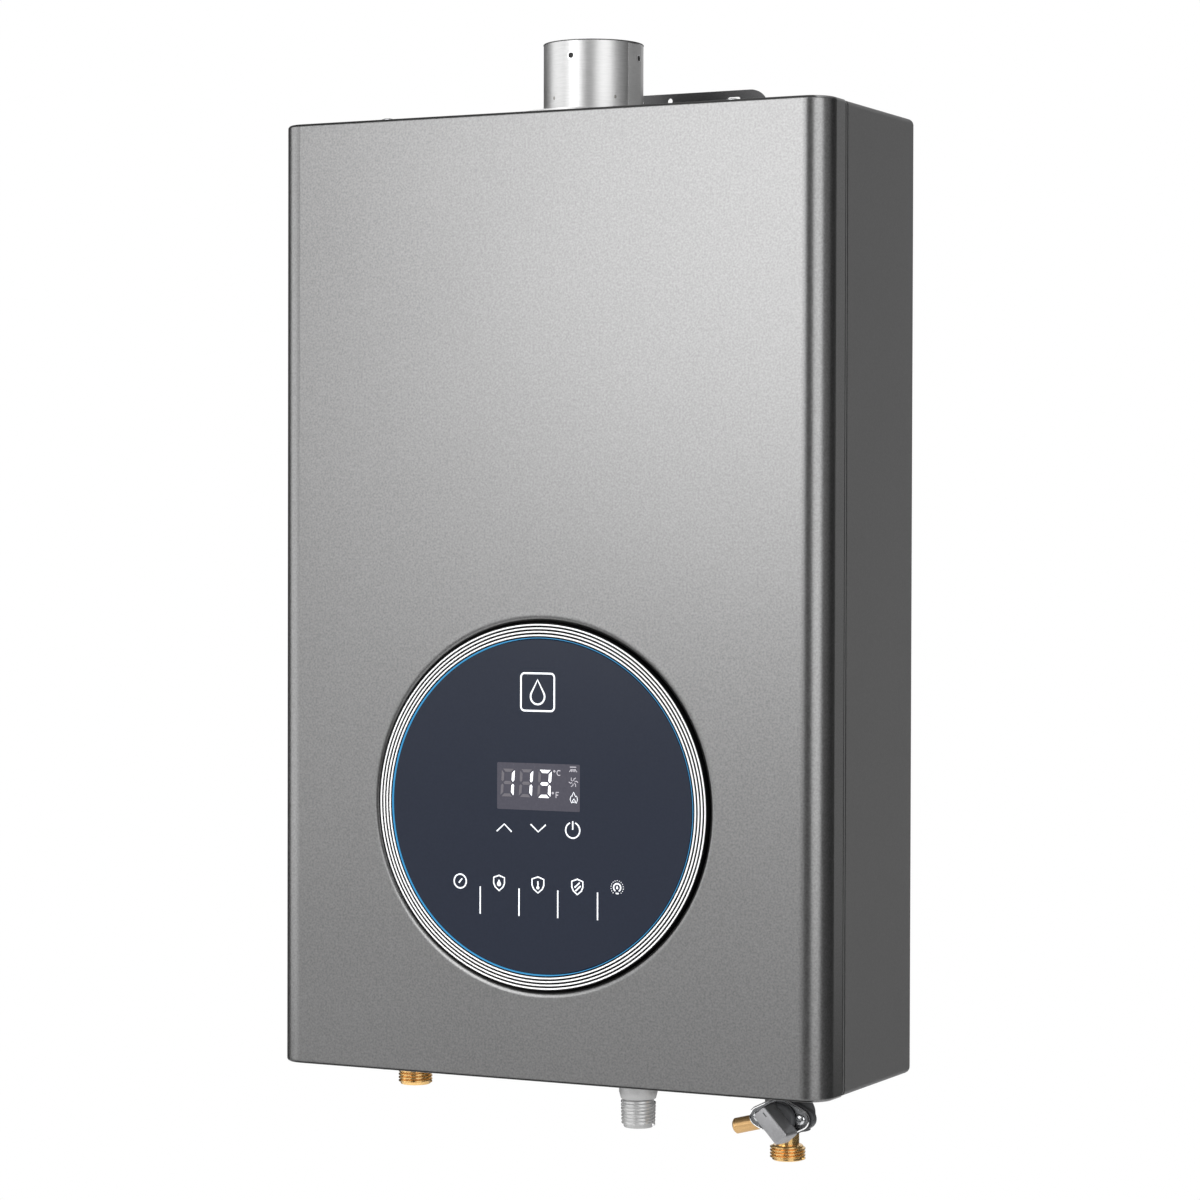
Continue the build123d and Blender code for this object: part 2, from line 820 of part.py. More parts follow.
# Fan motor: a round can whose flange is fixed to the front of the fan housing
motor_front_y = volute_front_y - motor_flange_thick - motor_length - motor_boss_length
with BuildPart() as fan_motor:
    with BuildSketch(facing(volute_front_y)):
        with Locations((fan_x, fan_z)):
            Circle(motor_radius + motor_flange)
    extrude(amount=motor_flange_thick)
    with BuildSketch(facing(volute_front_y - motor_flange_thick)):
        with Locations((fan_x, fan_z)):
            Circle(motor_radius)
    extrude(amount=motor_length)
    fillet(fan_motor.edges().group_by(Axis.Y)[0], motor_boss_length)
    with BuildSketch(facing(volute_front_y - motor_flange_thick - motor_length)):
        with Locations((fan_x, fan_z)):
            Circle(motor_boss_radius)
    extrude(amount=motor_boss_length)
    with BuildSketch(facing(volute_front_y)):
        with Locations((fan_x, fan_z)):
            Circle(fan_shaft_radius + fan_shaft_gap)
    extrude(amount=volute_front_y - motor_front_y, mode=Mode.SUBTRACT)
write(fan_motor, "fan_motor")

# Fan shaft: runs in the motor and carries the wheel
wheel_front_y = volute_front_y + sheet + wheel_front_gap
shaft_back_y = wheel_front_y + wheel_hub_length
with BuildPart() as fan_shaft:
    with BuildSketch(facing(shaft_back_y)):
        with Locations((fan_x, fan_z)):
            Circle(fan_shaft_radius)
    extrude(amount=shaft_back_y - volute_front_y + fan_shaft_run_in)
write(fan_shaft, "fan_shaft")

# Fan wheel: a backing disc, forward-curved blades and an end ring round the inlet
blade_outer_radius = wheel_radius - blade_thick
blade_inner_radius = wheel_radius - blade_depth


def blade_section():
    """One curved blade between two arcs, its outer edge turned forward by the lean."""
    middle_radius = (blade_outer_radius + blade_inner_radius) / 2
    lean = radians(blade_lean)
    with BuildSketch() as section:
        with BuildLine():
            for edge_radius in (0, blade_thick):
                ThreePointArc(
                    (blade_inner_radius, edge_radius),
                    (middle_radius, edge_radius + blade_depth * sin(lean) / 4),
                    (blade_outer_radius * cos(lean / 2), edge_radius + blade_depth * sin(lean)),
                )
            Line((blade_inner_radius, 0), (blade_inner_radius, blade_thick))
            tip_x = blade_outer_radius * cos(lean / 2)
            tip_y = blade_depth * sin(lean)
            Line((tip_x, tip_y), (tip_x, tip_y + blade_thick))
        make_face()
    return section.sketch


with BuildPart() as fan_wheel:
    with BuildSketch(facing(wheel_front_y + wheel_disc)):
        with Locations((fan_x, fan_z)):
            Circle(wheel_radius)
    extrude(amount=wheel_disc)
    blade = blade_section()
    with BuildSketch(facing(wheel_front_y + wheel_width)):
        with Locations((fan_x, fan_z)):
            with PolarLocations(0, blade_count):
                add(blade)
    extrude(amount=wheel_width - wheel_disc)
    with BuildSketch(facing(wheel_front_y + wheel_width)):
        with Locations((fan_x, fan_z)):
            Circle(wheel_radius)
            Circle(wheel_radius - wheel_ring, mode=Mode.SUBTRACT)
    extrude(amount=wheel_disc)
    with BuildSketch(facing(wheel_front_y + wheel_hub_length)):
        with Locations((fan_x, fan_z)):
            Circle(wheel_hub_radius)
    extrude(amount=wheel_hub_length)
    with BuildSketch(facing(wheel_front_y + wheel_hub_length)):
        with Locations((fan_x, fan_z)):
            Circle(fan_shaft_radius + fan_shaft_gap)
    extrude(amount=wheel_hub_length, mode=Mode.SUBTRACT)
write(fan_wheel, "fan_wheel")

# Exhaust hood: gathers the burnt gas over the fins and leads it to the fan's inlet behind
hood_roof_z = fan_z - scroll_radius - scroll_step - sheet - slip_gap
hood_bottom_z = hood_roof_z - hood_height
plenum_y = volute_back_y + plenum_depth / 2
plenum_top_z = fan_z + plenum_rise
with BuildPart() as exhaust_hood:
    with BuildSketch(level(hood_bottom_z)):
        with Locations((0, core_y)):
            RectangleRounded(core_width, core_depth, core_corner)
    extrude(amount=hood_height)
    with BuildSketch(level(hood_bottom_z)):
        with Locations((fan_x, plenum_y)):
            Rectangle(plenum_width, plenum_depth)
    extrude(amount=plenum_top_z - hood_bottom_z)
    with BuildSketch(level(hood_bottom_z)):
        with Locations((0, core_y)):
            RectangleRounded(core_width - 2 * core_wall, core_depth - 2 * core_wall, core_corner)
    extrude(amount=hood_height - sheet, mode=Mode.SUBTRACT)
    with BuildSketch(level(hood_bottom_z + sheet)):
        with Locations((fan_x, plenum_y)):
            Rectangle(plenum_width - 2 * sheet, plenum_depth - 2 * sheet)
    extrude(amount=plenum_top_z - hood_bottom_z - 2 * sheet, mode=Mode.SUBTRACT)
    with BuildSketch(facing(volute_back_y + sheet)):
        with Locations((fan_x, fan_z)):
            Circle(inlet_radius)
    extrude(amount=sheet, mode=Mode.SUBTRACT)
write(exhaust_hood, "exhaust_hood")

# Fin block: the brazed fin stack, grooved above and below, with bores for its tube
fin_bottom_z = hood_bottom_z - fin_height
fin_tube_z = hood_bottom_z - fin_height / 2
fin_groove_count = int((core_width - 2 * fin_groove_rim) / fin_groove_pitch)
fin_pass_y = [core_y + (row - (fin_pass_count - 1) / 2) * fin_pass_pitch for row in range(fin_pass_count)]
with BuildPart() as fin_block:
    with BuildSketch(level(fin_bottom_z)):
        with Locations((0, core_y)):
            RectangleRounded(core_width, core_depth, core_corner)
    extrude(amount=fin_height)
    for groove_z, groove_depth in ((hood_bottom_z, -fin_groove_depth), (fin_bottom_z, fin_groove_depth)):
        with BuildSketch(level(groove_z)):
            with Locations((0, core_y)):
                with GridLocations(fin_groove_pitch, 0, fin_groove_count, 1):
                    Rectangle(fin_groove_width, core_depth - 2 * fin_groove_rim)
        extrude(amount=groove_depth, mode=Mode.SUBTRACT)
    with BuildSketch(across(-core_width / 2)):
        with Locations(*[(pass_y, fin_tube_z) for pass_y in fin_pass_y]):
            Circle(tube_radius + coil_gap)
    extrude(amount=core_width, mode=Mode.SUBTRACT)
write(fin_block, "fin_block")

# Fin tube: one copper tube that passes back and forth through the fins
fin_end_x = core_width / 2
with BuildPart() as fin_tube:
    with BuildLine() as fin_route:
        side = 1
        for row, pass_y in enumerate(fin_pass_y):
            Line((side * fin_end_x, pass_y, fin_tube_z), (-side * fin_end_x, pass_y, fin_tube_z))
            if row < fin_pass_count - 1:
                ThreePointArc(
                    (-side * fin_end_x, pass_y, fin_tube_z),
                    (-side * (fin_end_x + fin_pass_pitch / 2), pass_y + fin_pass_pitch / 2, fin_tube_z),
                    (-side * fin_end_x, pass_y + fin_pass_pitch, fin_tube_z),
                )
            side = -side
    with BuildSketch(Plane(origin=fin_route.line @ 0, z_dir=fin_route.line % 0)):
        Circle(tube_radius)
    sweep()
write(fin_tube, "fin_tube")

# Combustion chamber: a copper box, open above and below
chamber_bottom_z = fin_bottom_z - chamber_height
with BuildPart() as combustion_chamber:
    with BuildSketch(level(chamber_bottom_z)):
        with Locations((0, core_y)):
            RectangleRounded(core_width, core_depth, core_corner)
            RectangleRounded(
                core_width - 2 * core_wall,
                core_depth - 2 * core_wall,
                core_corner - core_wall,
                mode=Mode.SUBTRACT,
            )
    extrude(amount=chamber_height)
write(combustion_chamber, "combustion_chamber")

# Chamber coil: the copper tube wound once round the chamber, then up into the fins
coil_x = core_width / 2 + coil_gap + tube_radius
coil_front_y = core_y - core_depth / 2 - coil_gap - tube_radius
coil_back_y = core_y + core_depth / 2 + coil_gap + tube_radius
coil_z = chamber_bottom_z + coil_rise
riser_x = coil_x + riser_shift
with BuildPart() as chamber_coil:
    with BuildLine() as coil_route:
        FilletPolyline(
            (port_x, coil_front_y, coil_z - coil_tail),
            (port_x, coil_front_y, coil_z),
            (-coil_x, coil_front_y, coil_z),
            (-coil_x, coil_back_y, coil_z),
            (coil_x, coil_back_y, coil_z + coil_pitch),
            (riser_x, fin_pass_y[0], coil_z + coil_pitch),
            (riser_x, fin_pass_y[0], fin_tube_z),
            (fin_end_x, fin_pass_y[0], fin_tube_z),
            radius=[coil_bend, coil_bend, coil_bend, coil_bend, riser_bend, riser_bend],
        )
    with BuildSketch(Plane(origin=coil_route.line @ 0, z_dir=coil_route.line % 0)):
        Circle(tube_radius)
    sweep()
write(chamber_coil, "chamber_coil")

# Burner frame: a steel box under the chamber, with holes in its front wall for the electrodes
frame_bottom_z = chamber_bottom_z - burner_height
electrode_z = chamber_bottom_z - electrode_drop
frame_front_y = core_y - core_depth / 2
frame_back_y = core_y + core_depth / 2
electrode_x = [-electrode_spacing, 0, electrode_spacing]
with BuildPart() as burner_frame:
    with BuildSketch(level(frame_bottom_z)):
        with Locations((0, core_y)):
            RectangleRounded(core_width, core_depth, core_corner)
            RectangleRounded(
                core_width - 2 * core_wall,
                core_depth - 2 * core_wall,
                core_corner - core_wall,
                mode=Mode.SUBTRACT,
            )
    extrude(amount=burner_height)
    with BuildSketch(facing(frame_front_y + core_wall)):
        with Locations(*[(x, electrode_z) for x in electrode_x]):
            Circle(insulator_radius + screw_gap)
    extrude(amount=core_wall, mode=Mode.SUBTRACT)
write(burner_frame, "burner_frame")

# Frame brackets: two bent straps that carry the burner frame from the back of the case
with BuildPart() as frame_brackets:
    strap_z = frame_bottom_z + burner_height / 2
    strap_y = frame_back_y + bracket_plate
    for strap_x in (-frame_bracket_x, frame_bracket_x):
        with BuildSketch(across(strap_x - frame_bracket_width / 2)):
            with BuildLine():
                FilletPolyline(
                    (back_inner_y, strap_z - frame_bracket_foot),
                    (back_inner_y, strap_z),
                    (strap_y, strap_z),
                    (strap_y, strap_z + frame_bracket_foot),
                    radius=bracket_bend,
                )
                offset(amount=bracket_plate, side=Side.LEFT)
            make_face()
        extrude(amount=frame_bracket_width)
write(frame_brackets, "frame_brackets")

# Burner strips: flat pressed burners with a mixing throat below and flame ports above
deck_top_z = chamber_bottom_z - burner_top_gap
deck_bottom_z = deck_top_z - burner_deck
deck_length = core_depth - 2 * (core_wall + slip_gap)
throat_bottom_z = deck_bottom_z - burner_throat_height
burner_x = [(row - (burner_count - 1) / 2) * burner_pitch for row in range(burner_count)]
with BuildPart() as burner_strips:
    for strip_x in burner_x:
        with BuildSketch(across(strip_x - burner_thick / 2)):
            waist_z = deck_top_z - burner_waist_share * burner_deck
            with Locations((core_y, 0)):
                Polygon(
                    (-deck_length / 2, deck_top_z),
                    (-deck_length / 2, waist_z),
                    (-burner_foot, deck_bottom_z),
                    (burner_foot, deck_bottom_z),
                    (deck_length / 2, waist_z),
                    (deck_length / 2, deck_top_z),
                    align=None,
                )
        extrude(amount=burner_thick)
    with BuildSketch(level(throat_bottom_z)):
        with Locations(*[(strip_x, core_y) for strip_x in burner_x]):
            Circle(burner_throat_radius)
    extrude(amount=burner_throat_height)
    with BuildSketch(level(throat_bottom_z)):
        with Locations(*[(strip_x, core_y) for strip_x in burner_x]):
            Circle(burner_throat_radius - burner_throat_wall)
    extrude(amount=burner_throat_height, mode=Mode.SUBTRACT)
    with BuildSketch(level(deck_top_z)):
        for strip_x in burner_x:
            with Locations((strip_x, core_y)):
                with GridLocations(0, deck_length / (port_count + 1), 1, port_count):
                    Rectangle(port_length, port_width)
    extrude(amount=-port_depth, mode=Mode.SUBTRACT)
write(burner_strips, "burner_strips")

# Gas manifold: a cast bar under the burners that hangs from the frame by its end ears
manifold_top_z = frame_bottom_z - manifold_drop
manifold_bottom_z = manifold_top_z - manifold_height
outlet_x = gas_x + valve_outlet_shift
with BuildPart() as gas_manifold:
    with BuildSketch(across(-core_width / 2)):
        with Locations((core_y, manifold_top_z - manifold_height / 2)):
            Rectangle(manifold_depth, manifold_height)
    extrude(amount=core_width)
    fillet(gas_manifold.edges().filter_by(Axis.X), manifold_ear)
    with BuildSketch(level(manifold_top_z - manifold_ear)):
        for ear_side in (-1, 1):
            with Locations((ear_side * (core_width - manifold_ear) / 2, core_y)):
                Rectangle(manifold_ear, manifold_depth)
    extrude(amount=manifold_drop + manifold_ear)
    with BuildSketch(across(-core_width / 2 + manifold_ear)):
        with Locations((core_y, manifold_top_z - manifold_height / 2)):
            Circle(manifold_channel_radius)
    extrude(amount=core_width - 2 * manifold_ear, mode=Mode.SUBTRACT)
    with BuildSketch(level(manifold_bottom_z)):
        with Locations((outlet_x, core_y)):
            Circle(valve_passage_radius)
    extrude(amount=manifold_height / 2, mode=Mode.SUBTRACT)
write(gas_manifold, "gas_manifold")

# Gas nozzles: one brass jet under each burner's throat
with BuildPart() as gas_nozzles:
    with BuildSketch(level(manifold_top_z)):
        with Locations(*[(strip_x, core_y) for strip_x in burner_x]):
            RegularPolygon(nozzle_radius, 6)
    extrude(amount=nozzle_seat)
    with BuildSketch(level(manifold_top_z + nozzle_seat)):
        with Locations(*[(strip_x, core_y) for strip_x in burner_x]):
            Circle(nozzle_tip_radius)
    extrude(amount=nozzle_tip)
write(gas_nozzles, "gas_nozzles")

# Gas inlet: a steel nipple with a taper thread below the case and a square flange inside it
gas_end_z = bottom_z - gas_reach
gas_thread_top_z = gas_end_z + gas_thread_length
gas_cone_top_z = gas_thread_top_z + gas_cone_length
gas_end_radius = gas_thread_radius - gas_thread_length * gas_taper_share
with BuildPart() as gas_inlet:
    with BuildSketch(Plane.XZ.offset(-core_y)):
        with Locations((gas_x, 0)):
            Polygon(
                (0, gas_end_z),
                (gas_end_radius - thread_chamfer, gas_end_z),
                (gas_end_radius, gas_end_z + thread_chamfer),
                (gas_thread_radius, gas_thread_top_z),
                (gas_shoulder_radius, gas_cone_top_z),
                (gas_shoulder_radius, inner_bottom_z),
                (0, inner_bottom_z),
                align=None,
            )
    revolve(axis=Axis((gas_x, core_y, 0), (0, 0, 1)))
    with BuildSketch(level(inner_bottom_z)):
        with Locations((gas_x, core_y)):
            RectangleRounded(gas_flange_size, gas_flange_size, gas_flange_corner)
    extrude(amount=gas_flange_thick)
    with BuildSketch(level(gas_end_z)):
        with Locations((gas_x, core_y)):
            Circle(gas_bore_radius)
    extrude(amount=inner_bottom_z + gas_flange_thick - gas_end_z, mode=Mode.SUBTRACT)
write(gas_inlet, "gas_inlet")

# Gas valve body: a die casting with a valve chamber across it and its outlet on top
valve_bottom_z = inner_bottom_z + gas_flange_thick
valve_top_z = valve_bottom_z + valve_height
valve_mid_z = (valve_bottom_z + valve_top_z) / 2
valve_left_x = gas_x - valve_width / 2
seat_x = gas_x + valve_seat_shift
with BuildPart() as gas_valve_body:
    with BuildSketch(level(valve_bottom_z)):
        with Locations((gas_x, core_y)):
            RectangleRounded(valve_width, valve_depth, valve_corner)
    extrude(amount=valve_height)
    chamfer(gas_valve_body.faces().sort_by(Axis.Z)[-1].edges(), thread_chamfer)
    with BuildSketch(level(valve_bottom_z)):
        with Locations((gas_x, core_y)):
            Circle(valve_passage_radius)
    extrude(amount=valve_height / 2, mode=Mode.SUBTRACT)
    with BuildSketch(across(valve_left_x)):
        with Locations((core_y, valve_mid_z)):
            Circle(valve_chamber_radius)
    extrude(amount=seat_x - valve_left_x, mode=Mode.SUBTRACT)
    with BuildSketch(across(seat_x)):
        with Locations((core_y, valve_mid_z)):
            Circle(valve_seat_radius)
    extrude(amount=outlet_x - seat_x, mode=Mode.SUBTRACT)
    with BuildSketch(level(valve_mid_z)):
        with Locations((outlet_x, core_y)):
            Circle(valve_passage_radius)
    extrude(amount=valve_height, mode=Mode.SUBTRACT)
write(gas_valve_body, "gas_valve_body")

# Valve coil: the round can of the shut-off solenoid, with a guide bore for its plunger
with BuildPart() as valve_coil:
    with BuildSketch(across(valve_left_x - coil_can_length)):
        with Locations((core_y, valve_mid_z)):
            Circle(coil_can_radius)
    extrude(amount=coil_can_length)
    fillet(valve_coil.edges().group_by(Axis.X)[0], thread_chamfer)
    with BuildSketch(across(valve_left_x)):
        with Locations((core_y, valve_mid_z)):
            Circle(plunger_radius + plunger_gap)
    extrude(amount=-(coil_can_length - coil_can_end), mode=Mode.SUBTRACT)
write(valve_coil, "valve_coil")

# Valve plunger: an iron rod whose disc shuts on the seat
disc_x = seat_x - plunger_gap - plunger_disc
guide_end_x = valve_left_x - coil_can_length + coil_can_end
plunger_end_x = guide_end_x + plunger_travel + plunger_gap
with BuildPart() as valve_plunger:
    with BuildSketch(across(disc_x)):
        with Locations((core_y, valve_mid_z)):
            Circle(valve_chamber_radius - plunger_disc_gap)
    extrude(amount=plunger_disc)
    with BuildSketch(across(plunger_end_x)):
        with Locations((core_y, valve_mid_z)):
            Circle(plunger_radius)
    extrude(amount=disc_x - plunger_end_x)
write(valve_plunger, "valve_plunger")

# Gas riser: a flanged tube from the valve's outlet up to the manifold
with BuildPart() as gas_riser:
    with BuildSketch(level(valve_top_z)):
        with Locations((outlet_x, core_y)):
            Circle(riser_radius)
    extrude(amount=manifold_bottom_z - valve_top_z)
    for flange_z in (valve_top_z, manifold_bottom_z - riser_flange_thick):
        with BuildSketch(level(flange_z)):
            with Locations((outlet_x, core_y)):
                Circle(riser_flange_radius)
        extrude(amount=riser_flange_thick)
    with BuildSketch(level(valve_top_z)):
        with Locations((outlet_x, core_y)):
            Circle(valve_passage_radius)
    extrude(amount=manifold_bottom_z - valve_top_z, mode=Mode.SUBTRACT)
write(gas_riser, "gas_riser")

# Inlet valve body: a moulded barrel through the case bottom, with a boss in front for the drain valve
drain_x = port_x + drain_offset
drain_z = bottom_z - drain_drop
boss_front_y = core_y - drain_boss_reach
barrel_top_z = bottom_z + valve_barrel_rise
barrel_bottom_z = bottom_z - valve_barrel_drop
cold_end_z = barrel_bottom_z - cold_neck_length - cold_thread_length
spigot_plane = Plane(
    origin=(drain_x - drain_boss_radius + spigot_seat, core_y - spigot_forward, drain_z - spigot_drop),
    z_dir=(-cos(radians(spigot_tilt)), 0, -sin(radians(spigot_tilt))),
)


def flange_outline():
    """Outline of the two-eared drain flange, about its own centre."""
    with BuildSketch() as outline:
        Circle(flange_hub_radius)
        with GridLocations(flange_ear_spacing, 0, 2, 1):
            Circle(flange_ear_radius)
        make_hull()
    return outline.sketch


flange_plane = Plane(
    (drain_x, boss_front_y, drain_z),
    x_dir=(1, 0, 0),
    z_dir=(0, -1, 0),
)
with BuildPart() as inlet_valve_body:
    with BuildSketch(level(barrel_bottom_z)):
        with Locations((port_x, core_y)):
            Circle(valve_barrel_radius)
    extrude(amount=barrel_top_z - barrel_bottom_z)
    with BuildSketch(level(bottom_z)):
        with Locations((port_x, core_y)):
            Circle(valve_collar_radius)
    extrude(amount=-valve_collar_thick)
    with BuildSketch(facing(core_y)):
        with Locations((drain_x, drain_z)):
            Circle(drain_boss_radius)
    extrude(amount=drain_boss_reach)
    with BuildSketch(flange_plane):
        add(flange_outline())
    extrude(amount=-flange_back)
    with BuildSketch(level(cold_end_z)):
        with Locations((port_x, core_y)):
            Circle(cold_neck_radius + screw_gap)
    extrude(amount=barrel_top_z - cold_end_z, mode=Mode.SUBTRACT)
    with BuildSketch(facing(boss_front_y)):
        with Locations((drain_x, drain_z)):
            Circle(drain_chamber_radius)
    extrude(amount=-drain_chamber_depth, mode=Mode.SUBTRACT)
    with BuildSketch(facing(boss_front_y)):
        with Locations((drain_x, drain_z)):
            Circle(drain_port_radius)
    extrude(amount=-drain_boss_reach, mode=Mode.SUBTRACT)
    with BuildSketch(flange_plane):
        with GridLocations(flange_ear_spacing, 0, 2, 1):
            Circle(small_screw_radius + screw_gap)
    extrude(amount=-flange_back, mode=Mode.SUBTRACT)
    with BuildSketch(spigot_plane):
        Circle(spigot_radius + screw_gap)
    extrude(amount=spigot_length, mode=Mode.SUBTRACT)
    with BuildSketch(spigot_plane):
        Circle(spigot_bore_radius)
    extrude(amount=-spigot_link, mode=Mode.SUBTRACT)
write(inlet_valve_body, "inlet_valve_body")

# Cold inlet nipple: brass, its thread below a slim neck that is moulded into the valve body
with BuildPart() as cold_inlet_nipple:
    with BuildSketch(level(cold_end_z)):
        with Locations((port_x, core_y)):
            Circle(thread_radius)
    extrude(amount=cold_thread_length)
    chamfer(cold_inlet_nipple.faces().sort_by(Axis.Z)[0].edges(), thread_chamfer)
    with BuildSketch(level(cold_end_z + cold_thread_length)):
        with Locations((port_x, core_y)):
            Circle(cold_neck_radius)
    extrude(amount=barrel_bottom_z + cold_insert - cold_end_z - cold_thread_length)
    with BuildSketch(level(cold_end_z)):
        with Locations((port_x, core_y)):
            Circle(cold_bore_radius)
    extrude(amount=barrel_bottom_z + cold_insert - cold_end_z, mode=Mode.SUBTRACT)
write(cold_inlet_nipple, "cold_inlet_nipple")

# Drain flange: a plated plate that holds the drain stem in the boss
with BuildPart() as drain_flange:
    with BuildSketch(flange_plane):
        add(flange_outline())
        Circle(stem_radius + stem_gap, mode=Mode.SUBTRACT)
        with GridLocations(flange_ear_spacing, 0, 2, 1):
            Circle(small_screw_radius + screw_gap, mode=Mode.SUBTRACT)
    extrude(amount=flange_thick)
write(drain_flange, "drain_flange")

# Flange screws: one in each ear
with BuildPart() as flange_screws:
    with Locations(flange_plane.offset(flange_thick)):
        with GridLocations(flange_ear_spacing, 0, 2, 1):
            add(small_screw)
write(flange_screws, "flange_screws")

# Stem seal: a rubber ring round the stem, behind the flange
with BuildPart() as stem_seal:
    with BuildSketch(facing(boss_front_y + stem_seal_thick)):
        with Locations((drain_x, drain_z)):
            Circle(stem_seal_radius)
            Circle(stem_radius + stem_gap, mode=Mode.SUBTRACT)
    extrude(amount=stem_seal_thick)
write(stem_seal, "stem_seal")

# Drain stem: turns in the flange and opens the drain, with the knob on its front end
knob_back_y = boss_front_y - flange_thick - knob_gap
with BuildPart() as drain_stem:
    with BuildSketch(facing(boss_front_y + stem_length)):
        with Locations((drain_x, drain_z)):
            Circle(stem_radius)
    extrude(amount=stem_length + boss_front_y - knob_back_y + knob_bore_depth)
write(drain_stem, "drain_stem")

# Drain knob: a tapered bar grip with a round base about its stem
knob_plane = Plane(
    (drain_x, knob_back_y, drain_z),
    x_dir=(cos(radians(knob_bar_angle)), 0, sin(radians(knob_bar_angle))),
    z_dir=(0, -1, 0),
)
with BuildPart() as drain_knob:
    with BuildSketch(facing(knob_back_y)):
        with Locations((drain_x, drain_z)):
            Circle(knob_base_radius)
    extrude(amount=knob_base_thick)
    with BuildSketch(knob_plane):
        with Locations((knob_bar_shift, 0)):
            RectangleRounded(knob_bar_length, knob_bar_width, knob_round)
    extrude(amount=knob_bar_depth, taper=knob_draft)
    fillet(drain_knob.faces().sort_by(Axis.Y)[0].edges(), knob_round / 2)
    with BuildSketch(facing(knob_back_y)):
        with Locations((drain_x, drain_z)):
            Circle(stem_radius + stem_gap)
    extrude(amount=knob_bore_depth, mode=Mode.SUBTRACT)
write(drain_knob, "drain_knob")

# Drain spigot: a brass spout from the side of the valve body
with BuildPart() as drain_spigot:
    with BuildSketch(spigot_plane):
        Circle(spigot_radius)
    extrude(amount=spigot_length)
    chamfer(drain_spigot.edges().group_by(Axis.X)[0], spigot_chamfer)
    with BuildSketch(spigot_plane):
        Circle(spigot_bore_radius)
    extrude(amount=spigot_length, mode=Mode.SUBTRACT)
write(drain_spigot, "drain_spigot")

# Flow sensor: a moulded tube on the valve body, with two cross bars that hold the turbine's pin
sensor_bottom_z = barrel_top_z
sensor_top_z = sensor_bottom_z + sensor_length
lower_bar_z = sensor_bottom_z + sensor_bar_inset
upper_bar_z = sensor_top_z - sensor_bar_inset - sensor_bar
with BuildPart() as flow_sensor:
    with BuildSketch(level(sensor_bottom_z)):
        with Locations((port_x, core_y)):
            Circle(sensor_radius)
            Circle(sensor_bore_radius, mode=Mode.SUBTRACT)
    extrude(amount=sensor_length)
    with BuildSketch(level(sensor_top_z - sensor_neck)):
        with Locations((port_x, core_y)):
            Circle(sensor_bore_radius)
            Circle(tube_radius + pipe_gap, mode=Mode.SUBTRACT)
    extrude(amount=sensor_neck)
    for bar_z in (lower_bar_z, upper_bar_z):
        with BuildSketch(level(bar_z)):
            with Locations((port_x, core_y)):
                Rectangle(2 * sensor_bore_radius, sensor_bar)
                Rectangle(sensor_bar, 2 * sensor_bore_radius)
                Circle(turbine_shaft_radius, mode=Mode.SUBTRACT)
        extrude(amount=sensor_bar)
    with BuildSketch(facing(core_y - sensor_bore_radius)):
        with Locations((port_x, (sensor_bottom_z + sensor_top_z) / 2)):
            RectangleRounded(sensor_head_width, sensor_head_height, sensor_bar)
    extrude(amount=sensor_radius - sensor_bore_radius + sensor_head_depth)
    with BuildSketch(level(lower_bar_z + sensor_bar)):
        with Locations((port_x, core_y)):
            Circle(sensor_bore_radius)
    extrude(amount=upper_bar_z - lower_bar_z - sensor_bar, mode=Mode.SUBTRACT)
write(flow_sensor, "flow_sensor")

# Turbine pin: a steel pin across the sensor's two bars
with BuildPart() as turbine_pin:
    with BuildSketch(level(lower_bar_z)):
        with Locations((port_x, core_y)):
            Circle(turbine_shaft_radius)
    extrude(amount=upper_bar_z + sensor_bar - lower_bar_z)
write(turbine_pin, "turbine_pin")

# Flow turbine: twisted blades on a hub that spins on the pin as water passes
turbine_bottom_z = lower_bar_z + sensor_bar + turbine_end_gap
turbine_length = upper_bar_z - turbine_end_gap - turbine_bottom_z
with BuildPart() as flow_turbine:
    with BuildSketch(level(turbine_bottom_z)):
        with Locations((port_x, core_y)):
            Circle(turbine_hub_radius)
    extrude(amount=turbine_length)
    blade_span = turbine_radius - turbine_hub_radius / 2
    for blade_row in range(turbine_blades):
        blade_turn = blade_row * 360 / turbine_blades
        for end_z, end_turn in (
            (turbine_bottom_z, blade_turn),
            (turbine_bottom_z + turbine_length, blade_turn + turbine_blade_twist),
        ):
            with BuildSketch(Plane((port_x, core_y, end_z)).rotated((0, 0, end_turn))):
                with Locations((turbine_hub_radius / 2 + blade_span / 2, 0)):
                    Rectangle(blade_span, turbine_blade_thick)
        loft(ruled=True)
    with BuildSketch(level(turbine_bottom_z)):
        with Locations((port_x, core_y)):
            Circle(turbine_shaft_radius + turbine_gap)
    extrude(amount=turbine_length, mode=Mode.SUBTRACT)
write(flow_turbine, "flow_turbine")

# Cold pipe: copper, from the flow sensor up to the coil's tail
coil_tail_z = coil_z - coil_tail
with BuildPart() as cold_pipe:
    with BuildLine() as cold_route:
        FilletPolyline(
            (port_x, core_y, sensor_top_z - pipe_insert),
            (port_x, core_y, sensor_top_z + pipe_offset_rise),
            (port_x, coil_front_y, sensor_top_z + pipe_offset_rise + pipe_offset_run),
            (port_x, coil_front_y, coil_tail_z),
            radius=pipe_bend,
        )
    with BuildSketch(Plane(origin=cold_route.line @ 0, z_dir=cold_route.line % 0)):
        Circle(tube_radius)
    sweep()
write(cold_pipe, "cold_pipe")

